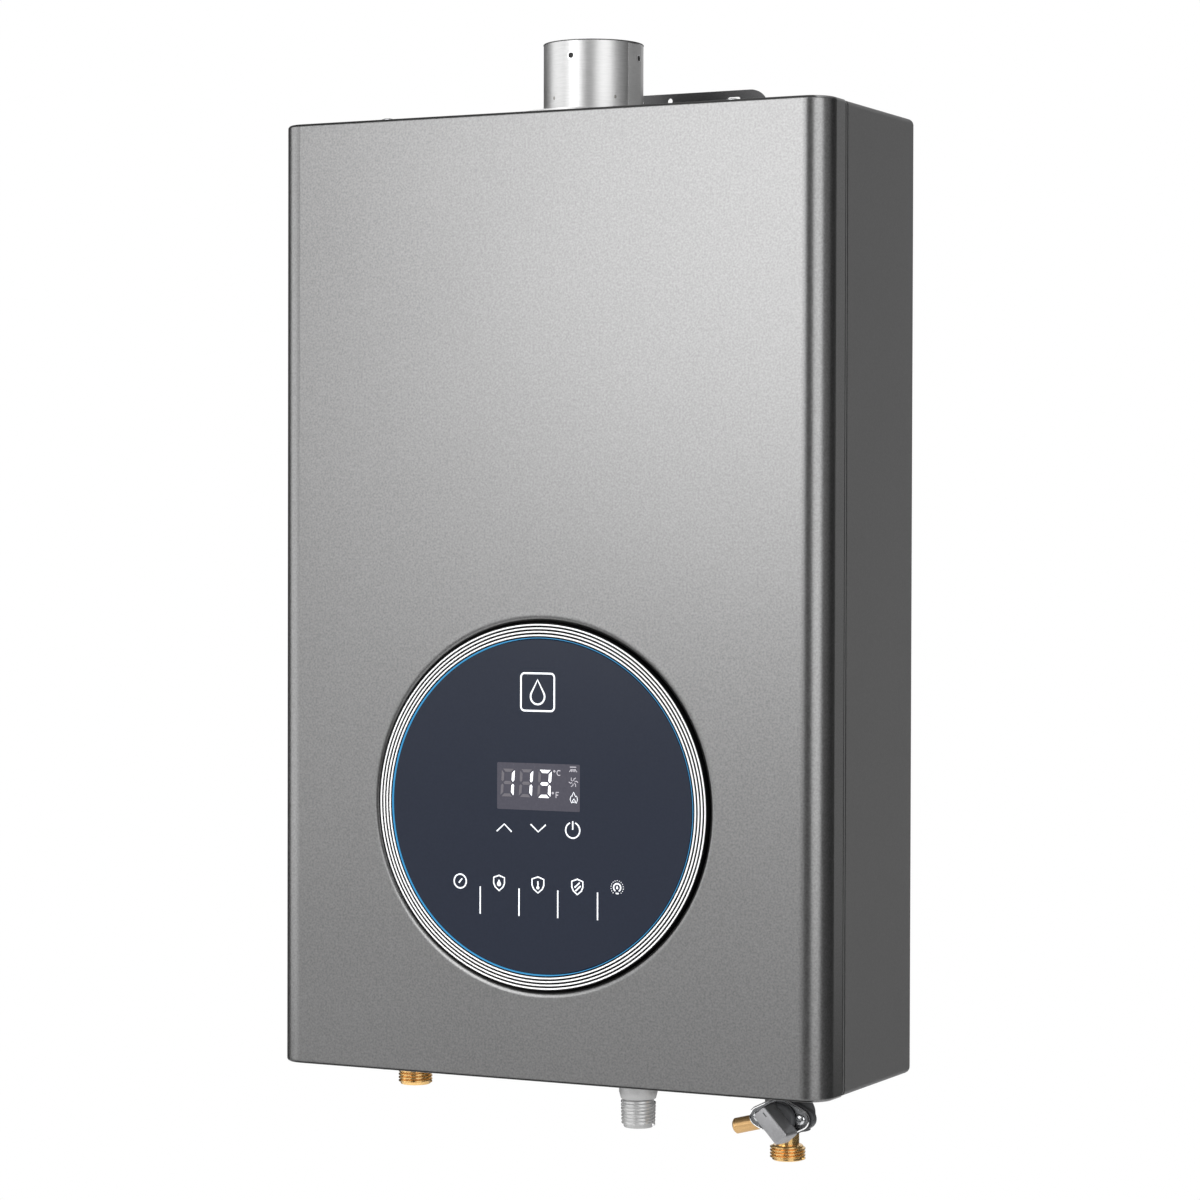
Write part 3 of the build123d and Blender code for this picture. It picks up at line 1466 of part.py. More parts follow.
# Hot outlet: a brass nipple with a collar under the case and a stub inside it
hot_end_z = bottom_z - hot_reach
hot_collar_bottom_z = hot_end_z + hot_thread_length
hot_stub_top_z = bottom_z + hot_stub_rise
with BuildPart() as hot_outlet:
    with BuildSketch(level(hot_end_z)):
        with Locations((-port_x, core_y)):
            Circle(thread_radius)
    extrude(amount=hot_stub_top_z - hot_end_z)
    chamfer(hot_outlet.faces().sort_by(Axis.Z)[0].edges(), thread_chamfer)
    with BuildSketch(level(hot_collar_bottom_z)):
        with Locations((-port_x, core_y)):
            RegularPolygon(hot_collar_radius, 6)
    extrude(amount=bottom_z - hot_collar_bottom_z)
    with BuildSketch(level(hot_end_z)):
        with Locations((-port_x, core_y)):
            Circle(tube_radius + pipe_gap)
    extrude(amount=hot_stub_top_z - hot_end_z, mode=Mode.SUBTRACT)
write(hot_outlet, "hot_outlet")

# Hot pipe: copper, from the fins down the left side into the hot outlet
hot_pass_y = fin_pass_y[-1]
with BuildPart() as hot_pipe:
    with BuildLine() as hot_route:
        FilletPolyline(
            (-fin_end_x, hot_pass_y, fin_tube_z),
            (-port_x, hot_pass_y, fin_tube_z),
            (-port_x, hot_pass_y, sensor_top_z + pipe_offset_rise + pipe_offset_run),
            (-port_x, core_y, sensor_top_z + pipe_offset_rise),
            (-port_x, core_y, hot_stub_top_z - pipe_insert),
            radius=[coil_bend, pipe_bend, pipe_bend],
        )
    with BuildSketch(Plane(origin=hot_route.line @ 0, z_dir=hot_route.line % 0)):
        Circle(tube_radius)
    sweep()
write(hot_pipe, "hot_pipe")

# Pipe nuts: the lock nut of the hot outlet and the union between cold pipe and coil
with BuildPart() as pipe_nuts:
    with BuildSketch(level(inner_bottom_z)):
        with Locations((-port_x, core_y)):
            RegularPolygon(nut_radius, 6)
            Circle(thread_radius + slip_gap, mode=Mode.SUBTRACT)
    extrude(amount=nut_thick)
    with BuildSketch(level(coil_tail_z - nut_thick)):
        with Locations((port_x, coil_front_y)):
            RegularPolygon(nut_radius, 6)
            Circle(tube_radius + slip_gap, mode=Mode.SUBTRACT)
    extrude(amount=2 * nut_thick)
write(pipe_nuts, "pipe_nuts")

# Control box: a moulded tray on the back of the case
box_z = bottom_z + box_rise + box_height / 2
box_front_y = back_inner_y - box_depth
with BuildPart() as control_box:
    with BuildSketch(facing(back_inner_y)):
        with Locations((box_x, box_z)):
            RectangleRounded(box_width, box_height, box_corner)
    extrude(amount=box_depth)
    with BuildSketch(facing(back_inner_y - box_wall)):
        with Locations((box_x, box_z)):
            RectangleRounded(box_width - 2 * box_wall, box_height - 2 * box_wall, box_corner - box_wall)
    extrude(amount=box_depth, mode=Mode.SUBTRACT)
    with BuildSketch(facing(back_inner_y - box_wall)):
        with Locations((box_x, box_z)):
            with GridLocations(
                box_width - 2 * (box_wall + board_boss_inset),
                box_height - 2 * (box_wall + board_boss_inset),
                2,
                2,
            ):
                Circle(board_boss_radius)
    extrude(amount=control_board_stand)
write(control_box, "control_box")

# Control board: on the tray's posts, with its transformer and relays
board_back_y = back_inner_y - box_wall - control_board_stand
with BuildPart() as control_board:
    with BuildSketch(facing(board_back_y)):
        with Locations((box_x, box_z)):
            Rectangle(
                box_width - 2 * (box_wall + control_board_gap),
                box_height - 2 * (box_wall + control_board_gap),
            )
    extrude(amount=board_thick)
    with BuildSketch(facing(board_back_y - board_thick)):
        with Locations((box_x, box_z)):
            with GridLocations(0, 2 * part_block_height, 1, 2):
                Rectangle(part_block_width, part_block_height)
    extrude(amount=part_block_depth)
write(control_board, "control_board")

# Control lid: closes the tray, with a rib inside its edge
with BuildPart() as control_lid:
    with BuildSketch(facing(box_front_y)):
        with Locations((box_x, box_z)):
            RectangleRounded(box_width, box_height, box_corner)
    extrude(amount=box_wall)
    with BuildSketch(facing(box_front_y + lid_lip)):
        with Locations((box_x, box_z)):
            inset = box_wall + slip_gap
            RectangleRounded(box_width - 2 * inset, box_height - 2 * inset, box_corner - box_wall)
            inset = 2 * box_wall
            RectangleRounded(
                box_width - 2 * inset, box_height - 2 * inset, box_corner - box_wall, mode=Mode.SUBTRACT
            )
    extrude(amount=lid_lip)
write(control_lid, "control_lid")

# Igniter: a potted spark generator on the back of the case, with two output stubs
igniter_z = bottom_z + igniter_rise + igniter_height / 2
with BuildPart() as igniter:
    with BuildSketch(facing(back_inner_y)):
        with Locations((igniter_x, igniter_z)):
            RectangleRounded(igniter_width, igniter_height, box_corner)
    extrude(amount=igniter_depth)
    fillet(igniter.faces().sort_by(Axis.Y)[0].edges(), box_wall)
    with BuildSketch(level(igniter_z + igniter_height / 2)):
        with Locations((igniter_x, back_inner_y - igniter_depth / 2)):
            with GridLocations(igniter_width / 2, 0, 2, 1):
                Circle(igniter_stub_radius)
    extrude(amount=igniter_stub_length)
write(igniter, "igniter")

# Electrode insulators: three ceramic sleeves in the front wall of the burner frame
with BuildPart() as electrode_insulators:
    with BuildSketch(facing(frame_front_y + core_wall + insulator_length / 2)):
        with Locations(*[(x, electrode_z) for x in electrode_x]):
            Circle(insulator_radius)
    extrude(amount=insulator_length)
    with BuildSketch(facing(frame_front_y)):
        with Locations(*[(x, electrode_z) for x in electrode_x]):
            Circle(insulator_collar_radius)
    extrude(amount=insulator_collar_thick)
    with BuildSketch(facing(frame_front_y + core_wall + insulator_length / 2)):
        with Locations(*[(x, electrode_z) for x in electrode_x]):
            Circle(electrode_radius + screw_gap)
    extrude(amount=insulator_length, mode=Mode.SUBTRACT)
write(electrode_insulators, "electrode_insulators")

# Electrode rods: two spark rods and the flame probe, through the ceramic sleeves
with BuildPart() as electrode_rods:
    rod_back_y = frame_front_y + core_wall + insulator_length / 2 + electrode_reach
    with BuildSketch(facing(rod_back_y)):
        with Locations(*[(x, electrode_z) for x in electrode_x]):
            Circle(electrode_radius)
    extrude(amount=electrode_reach + insulator_length + electrode_tail)
write(electrode_rods, "electrode_rods")

# Thermal cut-out: a disc thermostat on the left wall of the chamber
with BuildPart() as thermal_cutout:
    with BuildSketch(across(-core_width / 2)):
        with Locations((core_y, chamber_bottom_z + cutout_rise)):
            Circle(cutout_radius)
    extrude(amount=-cutout_thick)
    fillet(thermal_cutout.edges().group_by(Axis.X)[0], thread_chamfer)
write(thermal_cutout, "thermal_cutout")

# Pressure switch: a round diaphragm box on the back of the case
switch_z = top_z - switch_drop
switch_front_y = back_inner_y - switch_depth
with BuildPart() as pressure_switch:
    with BuildSketch(facing(back_inner_y)):
        with Locations((switch_x, switch_z)):
            Circle(switch_radius)
    extrude(amount=switch_depth)
    fillet(pressure_switch.edges().group_by(Axis.Y)[0], box_wall)
    with BuildSketch(facing(switch_front_y)):
        with Locations((switch_x, switch_z)):
            Circle(switch_nipple_radius)
    extrude(amount=switch_nipple_length)
write(pressure_switch, "pressure_switch")

# Pressure hose: a silicone tube from the switch to the fan's outlet
with BuildPart() as pressure_hose:
    with BuildLine() as hose_route:
        FilletPolyline(
            (switch_x, switch_front_y - switch_nipple_length, switch_z),
            (switch_x, flue_y, switch_z),
            (outlet_width / 2 + sheet, flue_y, switch_z),
            radius=hose_bend,
        )
    with BuildSketch(Plane(origin=hose_route.line @ 0, z_dir=hose_route.line % 0)):
        Circle(hose_radius)
    sweep()
write(pressure_hose, "pressure_hose")

# Power gland: a rubber grommet in the case bottom for the supply lead
with BuildPart() as power_gland:
    gland_outer = gland_hole_radius + gland_flange
    with BuildSketch(level(bottom_z - gland_flange_thick)):
        with Locations((gland_x, core_y)):
            Circle(gland_outer)
    extrude(amount=gland_flange_thick)
    with BuildSketch(level(bottom_z)):
        with Locations((gland_x, core_y)):
            Circle(gland_hole_radius)
    extrude(amount=sheet)
    with BuildSketch(level(inner_bottom_z)):
        with Locations((gland_x, core_y)):
            Circle(gland_outer)
    extrude(amount=gland_flange_thick)
    with BuildSketch(level(bottom_z - gland_flange_thick)):
        with Locations((gland_x, core_y)):
            Circle(gland_bore_radius)
    extrude(amount=sheet + 2 * gland_flange_thick, mode=Mode.SUBTRACT)
write(power_gland, "power_gland")
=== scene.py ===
"""Wall-hung tankless gas water heater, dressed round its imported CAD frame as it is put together."""

from math import cos, pi, radians, sin

import bmesh
import bpy
from mathutils import Matrix, Vector


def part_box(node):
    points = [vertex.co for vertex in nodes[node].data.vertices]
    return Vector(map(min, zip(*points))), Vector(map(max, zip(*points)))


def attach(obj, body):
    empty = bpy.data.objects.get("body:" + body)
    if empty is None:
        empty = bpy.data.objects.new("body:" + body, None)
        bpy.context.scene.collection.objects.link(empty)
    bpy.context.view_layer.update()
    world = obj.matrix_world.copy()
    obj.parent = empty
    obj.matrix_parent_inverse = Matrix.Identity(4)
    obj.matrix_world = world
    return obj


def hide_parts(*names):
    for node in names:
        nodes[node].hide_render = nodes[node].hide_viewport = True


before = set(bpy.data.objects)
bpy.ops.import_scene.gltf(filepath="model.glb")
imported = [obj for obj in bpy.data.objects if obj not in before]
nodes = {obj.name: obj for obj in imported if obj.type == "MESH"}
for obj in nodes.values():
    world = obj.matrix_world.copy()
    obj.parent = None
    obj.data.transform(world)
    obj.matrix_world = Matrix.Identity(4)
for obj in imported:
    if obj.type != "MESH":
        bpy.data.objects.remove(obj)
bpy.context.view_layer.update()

# Camera: a long lens at the photograph's place, level with the middle of the case and to its right,
# so that its front and its right side show.
camera_data = bpy.data.cameras.new("camera")
camera_data.lens = 106.5
camera_data.sensor_width = 36.0
camera_data.clip_start = 0.05
camera = bpy.data.objects.new("camera", camera_data)
bpy.context.scene.collection.objects.link(camera)
camera_place = (0.95620, -2.00321, -0.26411)
camera_right = Vector((0.89564, 0.44477, 0.00259))
camera_up = Vector((-0.00968, 0.01369, 0.99986))
camera_back = Vector((0.44467, -0.89554, 0.01656))
camera_turn = Matrix((camera_right, camera_up, camera_back)).transposed()
camera.matrix_world = Matrix.Translation(camera_place) @ camera_turn.to_4x4()
bpy.context.scene.camera = camera

# Front cover: drawn steel sheet with rounded side edges and a rolled lip round the control panel,
# sprayed with a silver-grey metallic paint whose flakes show as a fine grain.
mm = 0.001


def srgb(hex_text):
    """Linear colour of an sRGB hex value."""
    channels = [int(hex_text[start : start + 2], 16) / 255 for start in (1, 3, 5)]
    return [c / 12.92 if c <= 0.04045 else ((c + 0.055) / 1.055) ** 2.4 for c in channels] + [1.0]


def add_node(tree, kind, settings=None, links=None):
    """Add a shader node, set its properties and sockets, and link outputs to its sockets."""
    node = tree.nodes.new(kind)
    for key, value in (settings or {}).items():
        if isinstance(key, str) and hasattr(node, key):
            setattr(node, key, value)
        else:
            node.inputs[key].default_value = value
    for key, source in (links or {}).items():
        tree.links.new(source, node.inputs[key])
    return node


def grained(name, tones, grain, rough, relief, stretch=(1, 1, 1), cloud=60, patchy=0.3, **sockets):
    """A finish mottled between two tones by its grain, which is also in its roughness and relief.

    The grain's size, its relief and the cloudy patches are in millimetres. Stretch draws the
    grain out into brush lines, patchy is the share of the patches, and sockets go to the shader.
    """
    material = bpy.data.materials.new(name)
    material.use_nodes = True
    tree = material.node_tree
    tree.nodes.clear()
    place = add_node(tree, "ShaderNodeTexCoord")
    drawn = add_node(
        tree, "ShaderNodeMapping", {"Scale": stretch}, {"Vector": place.outputs["Object"]}
    )
    fine = add_node(
        tree, "ShaderNodeTexNoise", {"Scale": 1 / (grain * mm), "Detail": 2.0},
        {"Vector": drawn.outputs["Vector"]},
    )
    broad = add_node(
        tree, "ShaderNodeTexNoise", {"Scale": 1 / (cloud * mm), "Detail": 2.0},
        {"Vector": place.outputs["Object"]},
    )
    share = add_node(
        tree, "ShaderNodeMix", {"data_type": "FLOAT", 0: patchy},
        {2: fine.outputs["Fac"], 3: broad.outputs["Fac"]},
    )
    spread = add_node(
        tree, "ShaderNodeMapRange", {"From Min": 0.3, "From Max": 0.7}, {"Value": share.outputs[0]}
    )
    tone = add_node(
        tree, "ShaderNodeMix", {"data_type": "RGBA", 6: srgb(tones[0]), 7: srgb(tones[1])},
        {0: spread.outputs[0]},
    )
    gloss = add_node(
        tree, "ShaderNodeMapRange", {"To Min": rough[0], "To Max": rough[1]},
        {"Value": spread.outputs[0]},
    )
    bump = add_node(
        tree, "ShaderNodeBump", {"Strength": 1.0, "Distance": relief * mm},
        {"Height": fine.outputs["Fac"]},
    )
    named = {
        key.replace("_", " ").title().replace("Ior", "IOR"): value for key, value in sockets.items()
    }
    shader = add_node(
        tree, "ShaderNodeBsdfPrincipled", named,
        {"Base Color": tone.outputs[2], "Roughness": gloss.outputs[0], "Normal": bump.outputs[0]},
    )
    add_node(tree, "ShaderNodeOutputMaterial", {}, {"Surface": shader.outputs[0]})
    return material


def coat(material, *names):
    """Give CAD nodes a finish."""
    for name in names:
        slots = nodes[name].data.materials
        slots.clear()
        slots.append(material)


# Metallic spray paint, satin under its clear coat, so that the sheet fades from light to dark with
# the light. The flakes are far finer than a pixel, so the grain is drawn 1.2 mm wide.
cover_paint = grained(
    "metallic_paint", ("#6b6b6b", "#7f7f7f"), 1.2, (0.28, 0.32), 0.006, cloud=90, patchy=0.08,
    metallic=0.92,
)
coat(cover_paint, "front_cover")

# Along the cover's top and bottom bends, near the front, the paint's colour is darkened to a fine
# near-black line: painted shade where the bends turn from the light.
cover_low, cover_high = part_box("front_cover")
cover_half = (cover_high.z - cover_low.z) / 2
edge_shade_starts, edge_shade_full = 1.7 * mm, 1.0 * mm
edge_shade_ends, edge_shade_front = 3.0 * mm, 2.2 * mm
paint_tree = cover_paint.node_tree
paint_shader = paint_tree.nodes["Principled BSDF"]
paint_tone = paint_shader.inputs["Base Color"].links[0].from_socket
paint_place = add_node(paint_tree, "ShaderNodeTexCoord")
paint_axes = add_node(paint_tree, "ShaderNodeSeparateXYZ", {}, {0: paint_place.outputs["Object"]})
off_middle = add_node(
    paint_tree, "ShaderNodeMath", {"operation": "SUBTRACT", 1: cover_low.z + cover_half},
    {0: paint_axes.outputs["Z"]},
)
up_or_down = add_node(
    paint_tree, "ShaderNodeMath", {"operation": "ABSOLUTE"}, {0: off_middle.outputs[0]}
)
near_edge = add_node(
    paint_tree, "ShaderNodeMapRange",
    {"From Min": cover_half - edge_shade_starts, "From Max": cover_half - edge_shade_full},
    {"Value": up_or_down.outputs[0]},
)
near_front = add_node(
    paint_tree, "ShaderNodeMapRange",
    {"From Min": cover_low.y + edge_shade_ends, "From Max": cover_low.y + edge_shade_front},
    {"Value": paint_axes.outputs["Y"]},
)
shade_on_bend = add_node(
    paint_tree, "ShaderNodeMath", {"operation": "MULTIPLY"},
    {0: near_edge.outputs[0], 1: near_front.outputs[0]},
)
# Painted shade: the colour on the bends is mixed towards near-black.
painted_edge_shade = add_node(
    paint_tree, "ShaderNodeMix", {"data_type": "RGBA", 7: srgb("#161616")},
    {0: shade_on_bend.outputs[0], 6: paint_tone},
)
paint_tree.links.new(painted_edge_shade.outputs[2], paint_shader.inputs["Base Color"])

# Back case: a drawn steel pan in a flatter coat of the same grey. Its four long corners are rounded
# in the press, and a groove behind its front edge holds the inner of two black cords that draw dark
# lines along the seam; the outer cord is painted shade for the gap behind the cover's edge.


def set_piece(name, shape, material, body="casing", replaced=(), sharp=35):
    """Turn a bmesh into a finished piece on a body."""
    data = bpy.data.meshes.new(name)
    shape.to_mesh(data)
    shape.free()
    data.shade_smooth()
    data.set_sharp_from_angle(angle=radians(sharp))
    data.materials.append(material)
    piece = bpy.data.objects.new(name, data)
    bpy.context.scene.collection.objects.link(piece)
    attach(piece, body)
    if replaced:
        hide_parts(*replaced)
    return piece


# Satin paint with little flake: a dull, even dark grey beside the cover's sheen.
case_paint = grained(
    "satin_grey_paint", ("#5a5a5a", "#686868"), 1.1, (0.5, 0.58), 0.008, cloud=90, patchy=0.08,
    metallic=0.35,
)
case_low, case_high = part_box("back_case")
case_middle = (case_low.z + case_high.z) / 2
half_wide = case_high.x
half_tall = (case_high.z - case_low.z) / 2
corner_radius = 3.6 * mm
corner_facet = 0.59 * corner_radius
straight_x = half_wide - corner_radius
straight_z = half_tall - corner_radius
seam_gap = 1.2 * mm
seam_y = cover_high.y
pan_front_y = seam_y + seam_gap
groove_edges = [pan_front_y + step * mm for step in (1.5, 1.8, 3.4, 3.7)]
groove_depth = 1.0 * mm
front_slack = 0.1 * mm
merge_reach = 0.001 * mm
hair = 0.0001 * mm
shell = bmesh.new()
shell.from_mesh(nodes["back_case"].data)
bmesh.ops.remove_doubles(shell, verts=shell.verts[:], dist=merge_reach)
cuts = [((0, y, 0), (0, 1, 0)) for y in groove_edges]
for inset in (corner_radius, corner_facet):
    for side in (-1, 1):
        cuts.append(((side * (half_wide - inset), 0, 0), (1, 0, 0)))
        cuts.append(((0, 0, case_middle + side * (half_tall - inset)), (0, 0, 1)))
for spot, way in cuts:
    bmesh.ops.bisect_plane(
        shell, geom=shell.verts[:] + shell.edges[:] + shell.faces[:], dist=hair, plane_co=spot,
        plane_no=way,
    )
for vert in shell.verts:
    across = abs(vert.co.x) - straight_x
    upward = abs(vert.co.z - case_middle) - straight_z
    out = Vector((max(across, 0), max(upward, 0)))
    reach = max(out)
    if vert.co.y < pan_front_y - front_slack or reach < hair:
        continue
    if groove_edges[1] - merge_reach < vert.co.y < groove_edges[2] + merge_reach:
        reach -= groove_depth
    out = out.normalized() * reach
    if across > -hair:
        vert.co.x = (straight_x + out[0]) * (1 if vert.co.x > 0 else -1)
    if upward > -hair:
        vert.co.z = case_middle + (straight_z + out[1]) * (1 if vert.co.z > case_middle else -1)
case_shell = set_piece(
    "case_shell", shell, case_paint, replaced=("back_case",), sharp=28
)
case_shell.modifiers.new("even_shading", "WEIGHTED_NORMAL").keep_sharp = True


def wire(lines, width, squash=1.0):
    """A bmesh of round wire through points in millimetres, closed where a line ends at its start.

    Squash flattens it along Z.
    """
    run = bpy.data.curves.new("wire", "CURVE")
    run.dimensions = "3D"
    run.bevel_depth = width / 2
    run.bevel_resolution = 2
    run.use_fill_caps = True
    for points in lines:
        closed = (Vector(points[0]) - Vector(points[-1])).length < width / 10
        kept = points[:-1] if closed else points
        spline = run.splines.new("POLY")
        spline.points.add(len(kept) - 1)
        for point, (x, y) in zip(spline.points, kept):
            point.co = (x, y, 0, 1)
        spline.use_cyclic_u = closed
    drawn = bpy.data.objects.new("wire", run)
    bpy.context.scene.collection.objects.link(drawn)
    bpy.context.view_layer.update()
    shape = bmesh.new()
    shape.from_mesh(drawn.to_mesh())
    drawn.to_mesh_clear()
    bpy.data.objects.remove(drawn)
    bpy.data.curves.remove(run)
    bmesh.ops.scale(shape, vec=(mm, mm, squash * mm), verts=shape.verts[:])
    return shape


def arc(middle, radius, first, last, steps=24, squeeze=1.0):
    """Points of an arc about a middle, in degrees from the right, counter-clockwise."""
    turns = [radians(first + (last - first) * step / steps) for step in range(steps + 1)]
    return [
        (middle[0] + radius * cos(turn) * squeeze, middle[1] + radius * sin(turn)) for turn in turns
    ]


def facing_front(x, y, z):
    """Place of a shape drawn flat, turned so that its top faces the front."""
    return Matrix.Translation((x, y, z)) @ Matrix.Rotation(pi / 2, 4, "X")


# Matt black cord that draws a thin dark line; the outer cord is painted shade in the gap behind the
# cover's edge.
seam_cord_black = grained(
    "black_seam_line_cord", ("#08080a", "#0e0e10"), 0.6, (0.6, 0.7), 0.0, specular_ior_level=0.1
)
cord_sunk = 0.05
for name, cord_y, thick in (
    ("outer_seam_shade_cord", seam_y + seam_gap / 2, 1.2),
    ("inner_seam_dark_cord", (groove_edges[0] + groove_edges[3]) / 2, 1.7),
):
    bend = corner_radius / mm - thick / 2 - cord_sunk
    cord_line = []
    for turn, side_x, side_z in ((0, 1, 1), (90, -1, 1), (180, -1, -1), (270, 1, -1)):
        bend_middle = (side_x * straight_x / mm, side_z * straight_z / mm)
        cord_line += arc(bend_middle, bend, turn, turn + 90, 6)
    cord_shape = wire([cord_line + cord_line[:1]], thick)
    bmesh.ops.transform(cord_shape, matrix=facing_front(0, cord_y, case_middle), verts=cord_shape.verts[:])
    set_piece(name, cord_shape, seam_cord_black)

# Cover screws: zinc-plated pan heads with a cross recess, two above and two below, driven through
# the cover's return into the case.
# Bright zinc plating, which glints in small hard spots.
zinc_plate = grained(
    "bright_zinc_plate", ("#b4b6b8", "#d3d4d6"), 0.8, (0.16, 0.26), 0.004, cloud=6, metallic=1.0
)


def pan_screw(head_radius, head_height, shank_radius, shank_length):
    """A screw in a bmesh, in millimetres along Z, with its cross-recessed head above the origin."""
    screw = bmesh.new()
    shoulder = head_height / 3
    crown = [
        (head_radius * cos(radians(turn)), shoulder + (head_height - shoulder) * sin(radians(turn)))
        for turn in (0, 18, 36, 54, 72, 90)
    ]
    shank = [(shank_radius, 0), (shank_radius, -shank_length), (0, -shank_length)]
    outline = crown[::-1] + [(head_radius, 0)] + shank
    points = [screw.verts.new((x if x > 1e-3 else 0, 0, z)) for x, z in outline]
    for first, second in zip(points, points[1:]):
        screw.edges.new((first, second))
    bmesh.ops.spin(
        screw, geom=screw.verts[:] + screw.edges[:], cent=(0, 0, 0), axis=(0, 0, 1), angle=2 * pi,
        steps=32, use_merge=True,
    )
    bmesh.ops.remove_doubles(screw, verts=screw.verts[:], dist=head_radius * 1e-3)
    half_slot = head_radius * 0.13
    half_cross = head_radius * 0.56
    for side in (-1, 1):
        for reach in (half_slot, half_cross):
            for way in (Vector((1, 0, 0)), Vector((0, 1, 0))):
                bmesh.ops.bisect_plane(
                    screw, geom=screw.verts[:] + screw.edges[:] + screw.faces[:],
                    plane_co=way * side * reach, plane_no=way, dist=head_radius * 1e-4,
                )
    recess = []
    for face in screw.faces:
        spot = face.calc_center_median()
        slim, wide = sorted((abs(spot.x), abs(spot.y)))
        if spot.z > shoulder and wide < half_cross and slim < half_slot:
            recess.append(face)
    sunk = bmesh.ops.extrude_face_region(screw, geom=recess)
    bmesh.ops.delete(screw, geom=recess, context="FACES_ONLY")
    recess_floor = head_height * 0.3
    recess_taper = 0.8
    for vert in sunk["geom"]:
        if isinstance(vert, bmesh.types.BMVert):
            vert.co = (vert.co.x * recess_taper, vert.co.y * recess_taper, recess_floor)
    bmesh.ops.recalc_face_normals(screw, faces=screw.faces[:])
    bmesh.ops.scale(screw, vec=(mm, mm, mm), verts=screw.verts[:])
    return screw


def gather(shape, places, whole=None):
    """A bmesh, new or given, with a copy of a shape added at each place."""
    whole = bmesh.new() if whole is None else whole
    loose = bpy.data.meshes.new("shape")
    shape.to_mesh(loose)
    shape.free()
    for place in places:
        placed = loose.copy()
        placed.transform(place)
        whole.from_mesh(placed)
        bpy.data.meshes.remove(placed)
    bpy.data.meshes.remove(loose)
    return whole


cover_screw_low, cover_screw_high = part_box("cover_screws")
screw_x = 114 * mm
screw_y = (cover_screw_low.y + cover_screw_high.y) / 2
screw_places = []
for side, drive in ((-1, 20), (1, -35)):
    above = Matrix.Translation((side * screw_x, screw_y, case_high.z))
    below = Matrix.Translation((side * screw_x, screw_y, case_low.z)) @ Matrix.Rotation(pi, 4, "X")
    screw_places.append(above @ Matrix.Rotation(radians(drive), 4, "Z"))
    screw_places.append(below @ Matrix.Rotation(radians(drive + 50), 4, "Z"))
set_piece(
    "cover_screw_set", gather(pan_screw(4.5, 2.8, 2, 8), screw_places), zinc_plate,
    replaced=("cover_screws",),
)

# Wall brackets and rivets: bent steel plates that hold the case off the wall, sprayed dark grey and
# riveted through its back.
# Semi-gloss dark paint, with a dim broad sheen.
bracket_paint = grained(
    "dark_grey_paint", ("#333334", "#424243"), 0.9, (0.32, 0.42), 0.006, metallic=0.4
)
coat(bracket_paint, "wall_bracket", "lower_bracket")
coat(zinc_plate, "bracket_rivets")

# Control panel dish: a black moulding that fills the cover's lip, with four thin plated rings
# pressed into its rim and a blue light guide inside them.
# Black moulding deep in its well, so dark that only what lies on it reads.
black_moulding = grained(
    "black_moulding", ("#060607", "#0a0a0b"), 0.8, (0.4, 0.5), 0.002, ior=1.52,
    specular_ior_level=0.08,
)
coat(black_moulding, "panel_bezel")
# Satin plating on plastic: even, nearly white lines.
ring_plating = grained(
    "satin_ring_plating", ("#f0f0f1", "#fcfcfc"), 0.6, (0.3, 0.4), 0.002, metallic=0.1,
    specular_ior_level=0.25,
)


def turned(outline, steps=64):
    """A bmesh turned about Z from a closed outline of radius and height, in millimetres."""
    body = bmesh.new()
    points = [body.verts.new((radius * mm, 0, height * mm)) for radius, height in outline]
    for first, second in zip(points, points[1:] + points[:1]):
        body.edges.new((first, second))
    bmesh.ops.spin(
        body, geom=body.verts[:] + body.edges[:], cent=(0, 0, 0), axis=(0, 0, 1), angle=2 * pi,
        steps=steps, use_merge=True,
    )
    bmesh.ops.remove_doubles(body, verts=body.verts[:], dist=merge_reach)
    bmesh.ops.recalc_face_normals(body, faces=body.faces[:])
    return body


panel_low, panel_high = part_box("panel_bezel")
panel_middle = (panel_low.z + panel_high.z) / 2
panel_steps = 160
on_panel = facing_front(0, panel_low.y, panel_middle)
first_ring, ring_pitch, ring_half, ring_root = 100.7, 2.05, 0.46, -0.9
ring_crown, ring_shoulder = 0.2, 0.1
rings = bmesh.new()
for row in range(4):
    ring_middle = first_ring + ring_pitch * row
    crown = arc((ring_middle, ring_shoulder), ring_crown, 0, 180, 6, ring_half / ring_crown)
    sides = [(ring_middle - ring_half, ring_root), (ring_middle + ring_half, ring_root)]
    gather(turned(crown + sides, panel_steps), [on_panel], rings)
set_piece("plated_ring_set", rings, ring_plating, replaced=("trim_rings",))
# Clear acrylic lit from behind: a thin, even blue glow.
light_guide = grained(
    "blue_light_guide", ("#0d3a5c", "#12456b"), 1.2, (0.3, 0.4), 0.002, specular_ior_level=0.2,
    emission_color=srgb("#4aa2d6"), emission_strength=0.85,
)
guide_outline = (
    (98.9, -3.4), (98.9, -0.1), (99.0, 0.05), (99.25, 0.05), (99.35, -0.1), (99.35, -3.4)
)
guide = turned(guide_outline, panel_steps)
bmesh.ops.transform(guide, matrix=on_panel, verts=guide.verts[:])
set_piece("blue_light_line", guide, light_guide, replaced=("light_ring",))
roll_middle, roll_in, roll_deep, roll_out, roll_proud = 112.6, 3.7, 2.4, 2.9, 0.06
roll_tall = roll_deep + roll_proud
roll = arc((roll_middle, -roll_deep), roll_tall, 90, 180, 10, roll_in / roll_tall)
lip_edge = (roll_middle + roll_out, -roll_proud / 2)
bead = turned([lip_edge] + roll + [(roll_middle, -roll_deep)], panel_steps)
bmesh.ops.transform(bead, matrix=facing_front(0, cover_low.y, panel_middle), verts=bead.verts[:])
set_piece("panel_lip_bead", bead, cover_paint)

